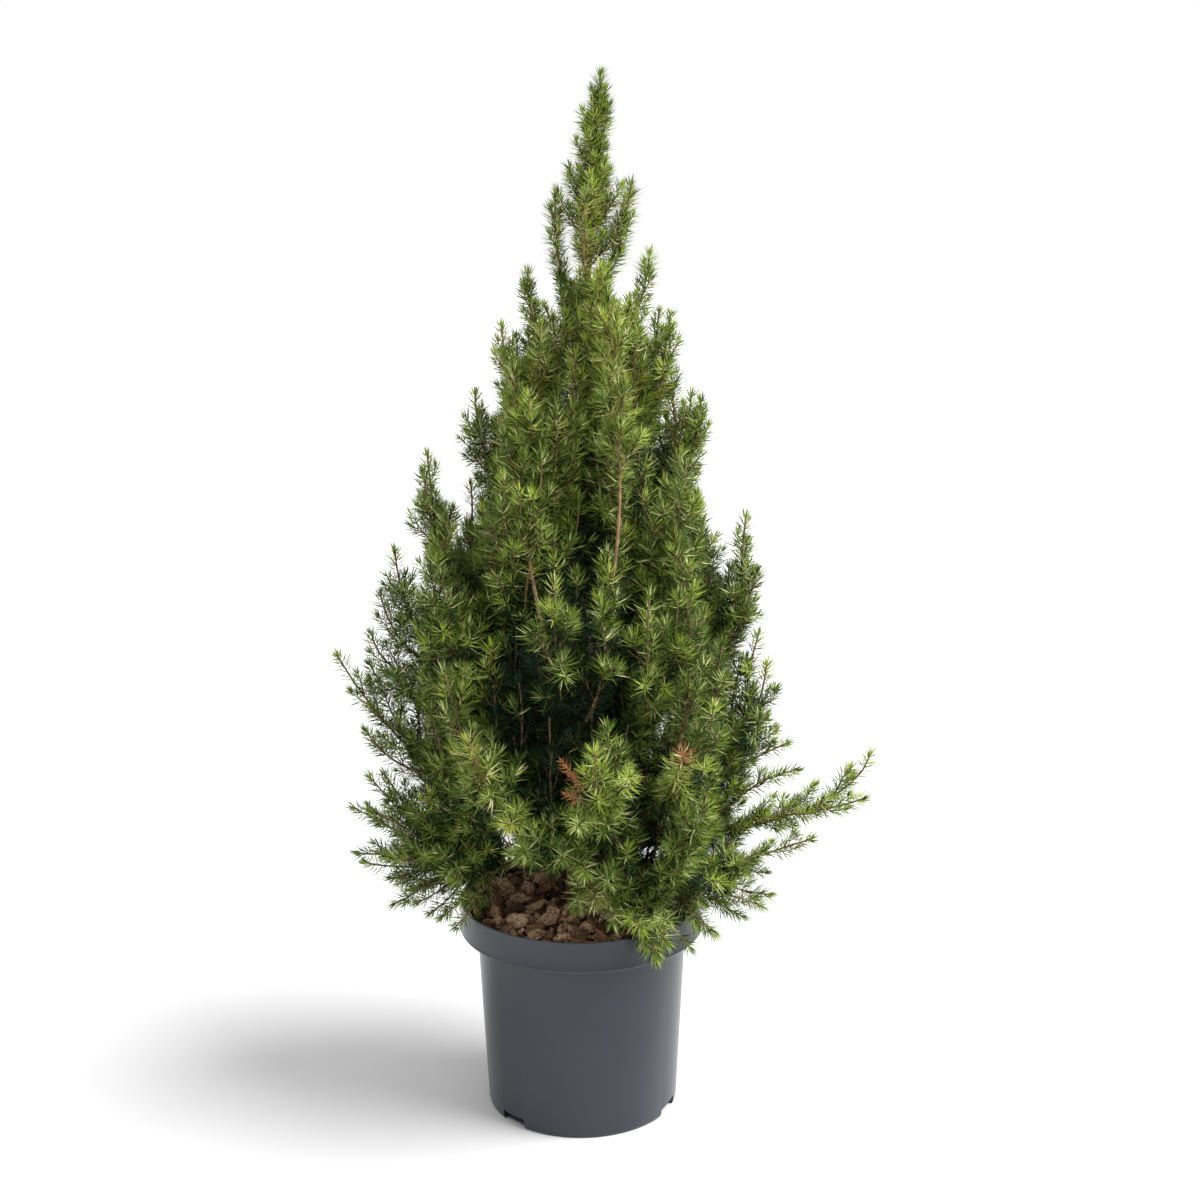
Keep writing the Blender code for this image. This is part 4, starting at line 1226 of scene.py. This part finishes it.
def make_pot():
    pot = spun("nursery_pot", pot_profile(), POT_STEPS)
    for index, bearing in enumerate(SLOT_BEARINGS):
        cutter = slot_cutter(f"slot_{index}", bearing)
        cut = pot.modifiers.new("cut", "BOOLEAN")
        cut.operation = "DIFFERENCE"
        cut.object = cutter
        cut.solver = "EXACT"
    graph = bpy.context.evaluated_depsgraph_get()
    mesh = bpy.data.meshes.new_from_object(pot.evaluated_get(graph))
    cutters = [modifier.object for modifier in pot.modifiers]
    pot.modifiers.clear()
    pot.data = mesh
    for cutter in cutters:
        bpy.data.objects.remove(cutter, do_unlink=True)
    mesh.materials.clear()
    mesh.materials.append(plastic_material())
    mesh.shade_smooth()
    mesh.set_sharp_from_angle(angle=math.radians(POT_SMOOTH))
    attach(pot, "root")
    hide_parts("pot")


def soil_height(x, y):
    lumps = noise.noise(Vector((x, y, 0.3)) * 60) * 0.003
    crumbs = noise.noise(Vector((x, y, 0.7)) * 200) * 0.0014
    return SOIL_TOP - 0.003 + (lumps + crumbs)


def make_soil():
    vertices = [(0.0, 0.0, soil_height(0, 0))]
    for ring in range(1, SOIL_RINGS + 1):
        radius = SOIL_EDGE * ring / SOIL_RINGS
        for step in range(SOIL_STEPS):
            angle = math.tau * step / SOIL_STEPS
            x, y = radius * math.cos(angle), radius * math.sin(angle)
            vertices.append((x, y, soil_height(x, y)))
    vertices += [(x, y, SOIL_BOTTOM) for x, y, _ in vertices[-SOIL_STEPS:]]
    vertices.append((0.0, 0.0, SOIL_BOTTOM))
    faces = []
    for face in turned_faces(SOIL_RINGS + 1, SOIL_STEPS):
        faces += [face] if len(face) == 3 else [face[:3], (face[0], *face[2:])]
    material = noisy(principled("soil", linear(54, 40, 31), 0.95, 0.1),
                     linear(30, 22, 17), linear(82, 60, 44), 240.0, 0.8, 8.0, 0.001)
    soil = mesh_piece("potting_soil", vertices, faces, material, "bark_mulch", smooth=True)
    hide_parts("soil")


def chip(random, size):
    """A lump of bark: an uneven ball, squashed and turned."""
    cage = bmesh.new()
    bmesh.ops.create_icosphere(cage, subdivisions=2 if size > FINE_CHIP else 1, radius=0.5)
    shift = Vector(random.uniform(-50, 50, 3))
    stretch = Vector((random.uniform(0.9, 1.7), 1.0, random.uniform(0.30, 0.75)))
    for vertex in cage.verts:
        lumps, crumbs = (noise.noise(vertex.co * scale + shift) for scale in (2.6, 6.0))
        vertex.co = vertex.co * (1.0 + 0.70 * lumps + 0.45 * crumbs)
        vertex.co = vertex.co * stretch * size
    vertices = np.array([vertex.co for vertex in cage.verts])
    cage.faces.ensure_lookup_table()
    faces = np.array([[vertex.index for vertex in face.verts] for face in cage.faces])
    cage.free()
    angles = random.uniform(0, math.tau), random.normal(0, CHIP_TILT), random.normal(0, CHIP_TILT)
    cz, sz, cx, sx, cy, sy = (f(a) for a in angles for f in (math.cos, math.sin))
    turn = np.array(((cz, -sz, 0), (sz, cz, 0), (0, 0, 1)))
    roll = np.array(((1, 0, 0), (0, cx, -sx), (0, sx, cx)))
    pitch = np.array(((cy, 0, sy), (0, 1, 0), (-sy, 0, cy)))
    return vertices @ (roll @ pitch @ turn).T, faces


def make_chips(random):
    groups = {tone: [] for tone in CHIP_TONES}
    names = list(CHIP_TONES)
    for _ in range(CHIP_TRIES):
        size = float(np.clip(random.lognormal(math.log(CHIP_SIZE), CHIP_SPREAD), *CHIP_LIMITS))
        radius = math.sqrt(random.uniform(0.0, 1.0)) * (SOIL_EDGE - 1.05 * size)
        angle = random.uniform(0, math.tau)
        x, y = radius * math.cos(angle), radius * math.sin(angle)
        if radius < FOOT_RADIUS:
            continue
        vertices, faces = chip(random, size)
        place = np.array((x, y, soil_height(x, y) + random.uniform(0.10, 0.50) * size))
        tone = names[int(random.choice(4, p=CHIP_SHARES))]
        groups[tone].append((vertices + place, faces))
    for tone, group in groups.items():
        dark, light = CHIP_TONES[tone]
        material = noisy(principled(f"bark chips {tone}", linear(*dark), 0.9, 0.15),
                         linear(*dark), linear(*light), 420.0, 0.9, 8.0, 0.0014)
        piece = mesh_piece(f"bark_chips_{tone}", *joined(group), material, "bark_mulch")
        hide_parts("soil")


# ---- stage, light and camera

def make_stage():
    mesh = bpy.data.meshes.new("floor")
    corner_signs = ((-1, -1), (1, -1), (1, 1), (-1, 1))
    mesh.from_pydata([(x * FLOOR_SIZE, y * FLOOR_SIZE, 0) for x, y in corner_signs], [], [(0, 1, 2, 3)])
    floor = placed("floor", mesh)
    mesh.materials.append(principled("pale floor", [FLOOR_GREY] * 3, 1.0, 0.0))


def make_light():
    world = bpy.data.worlds.new("studio")
    bpy.context.scene.world = world
    world.use_nodes = True
    background = world.node_tree.nodes["Background"]
    background.inputs["Color"].default_value = (1.0, 1.0, 1.0, 1.0)
    background.inputs["Strength"].default_value = 1.0
    sun = bpy.data.lights.new("key", "SUN")
    sun.energy = KEY_STRENGTH
    sun.angle = math.radians(KEY_ANGLE)
    lamp = placed("key", sun)
    lamp.rotation_euler = Vector(KEY_FROM).to_track_quat("Z", "Y").to_euler()
    bpy.context.scene.view_settings.view_transform = "Standard"


def make_camera():
    data = bpy.data.cameras.new("camera")
    data.lens = CAMERA_LENS
    data.sensor_width = 36.0
    camera = placed("camera", data)
    tilt = Matrix.Rotation(math.radians(CAMERA_TILT), 4, "X")
    roll = Matrix.Rotation(math.radians(CAMERA_ROLL), 4, "Z")
    camera.matrix_world = Matrix.Translation(CAMERA_PLACE) @ tilt @ roll
    bpy.context.scene.camera = camera


def main():
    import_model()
    make_camera()
    limbs = all_limbs()
    make_foliage(limbs)
    make_wood(limbs)
    make_pot()
    make_soil()
    make_chips(np.random.default_rng(SEED + 2))
    make_stage()
    make_light()


main()
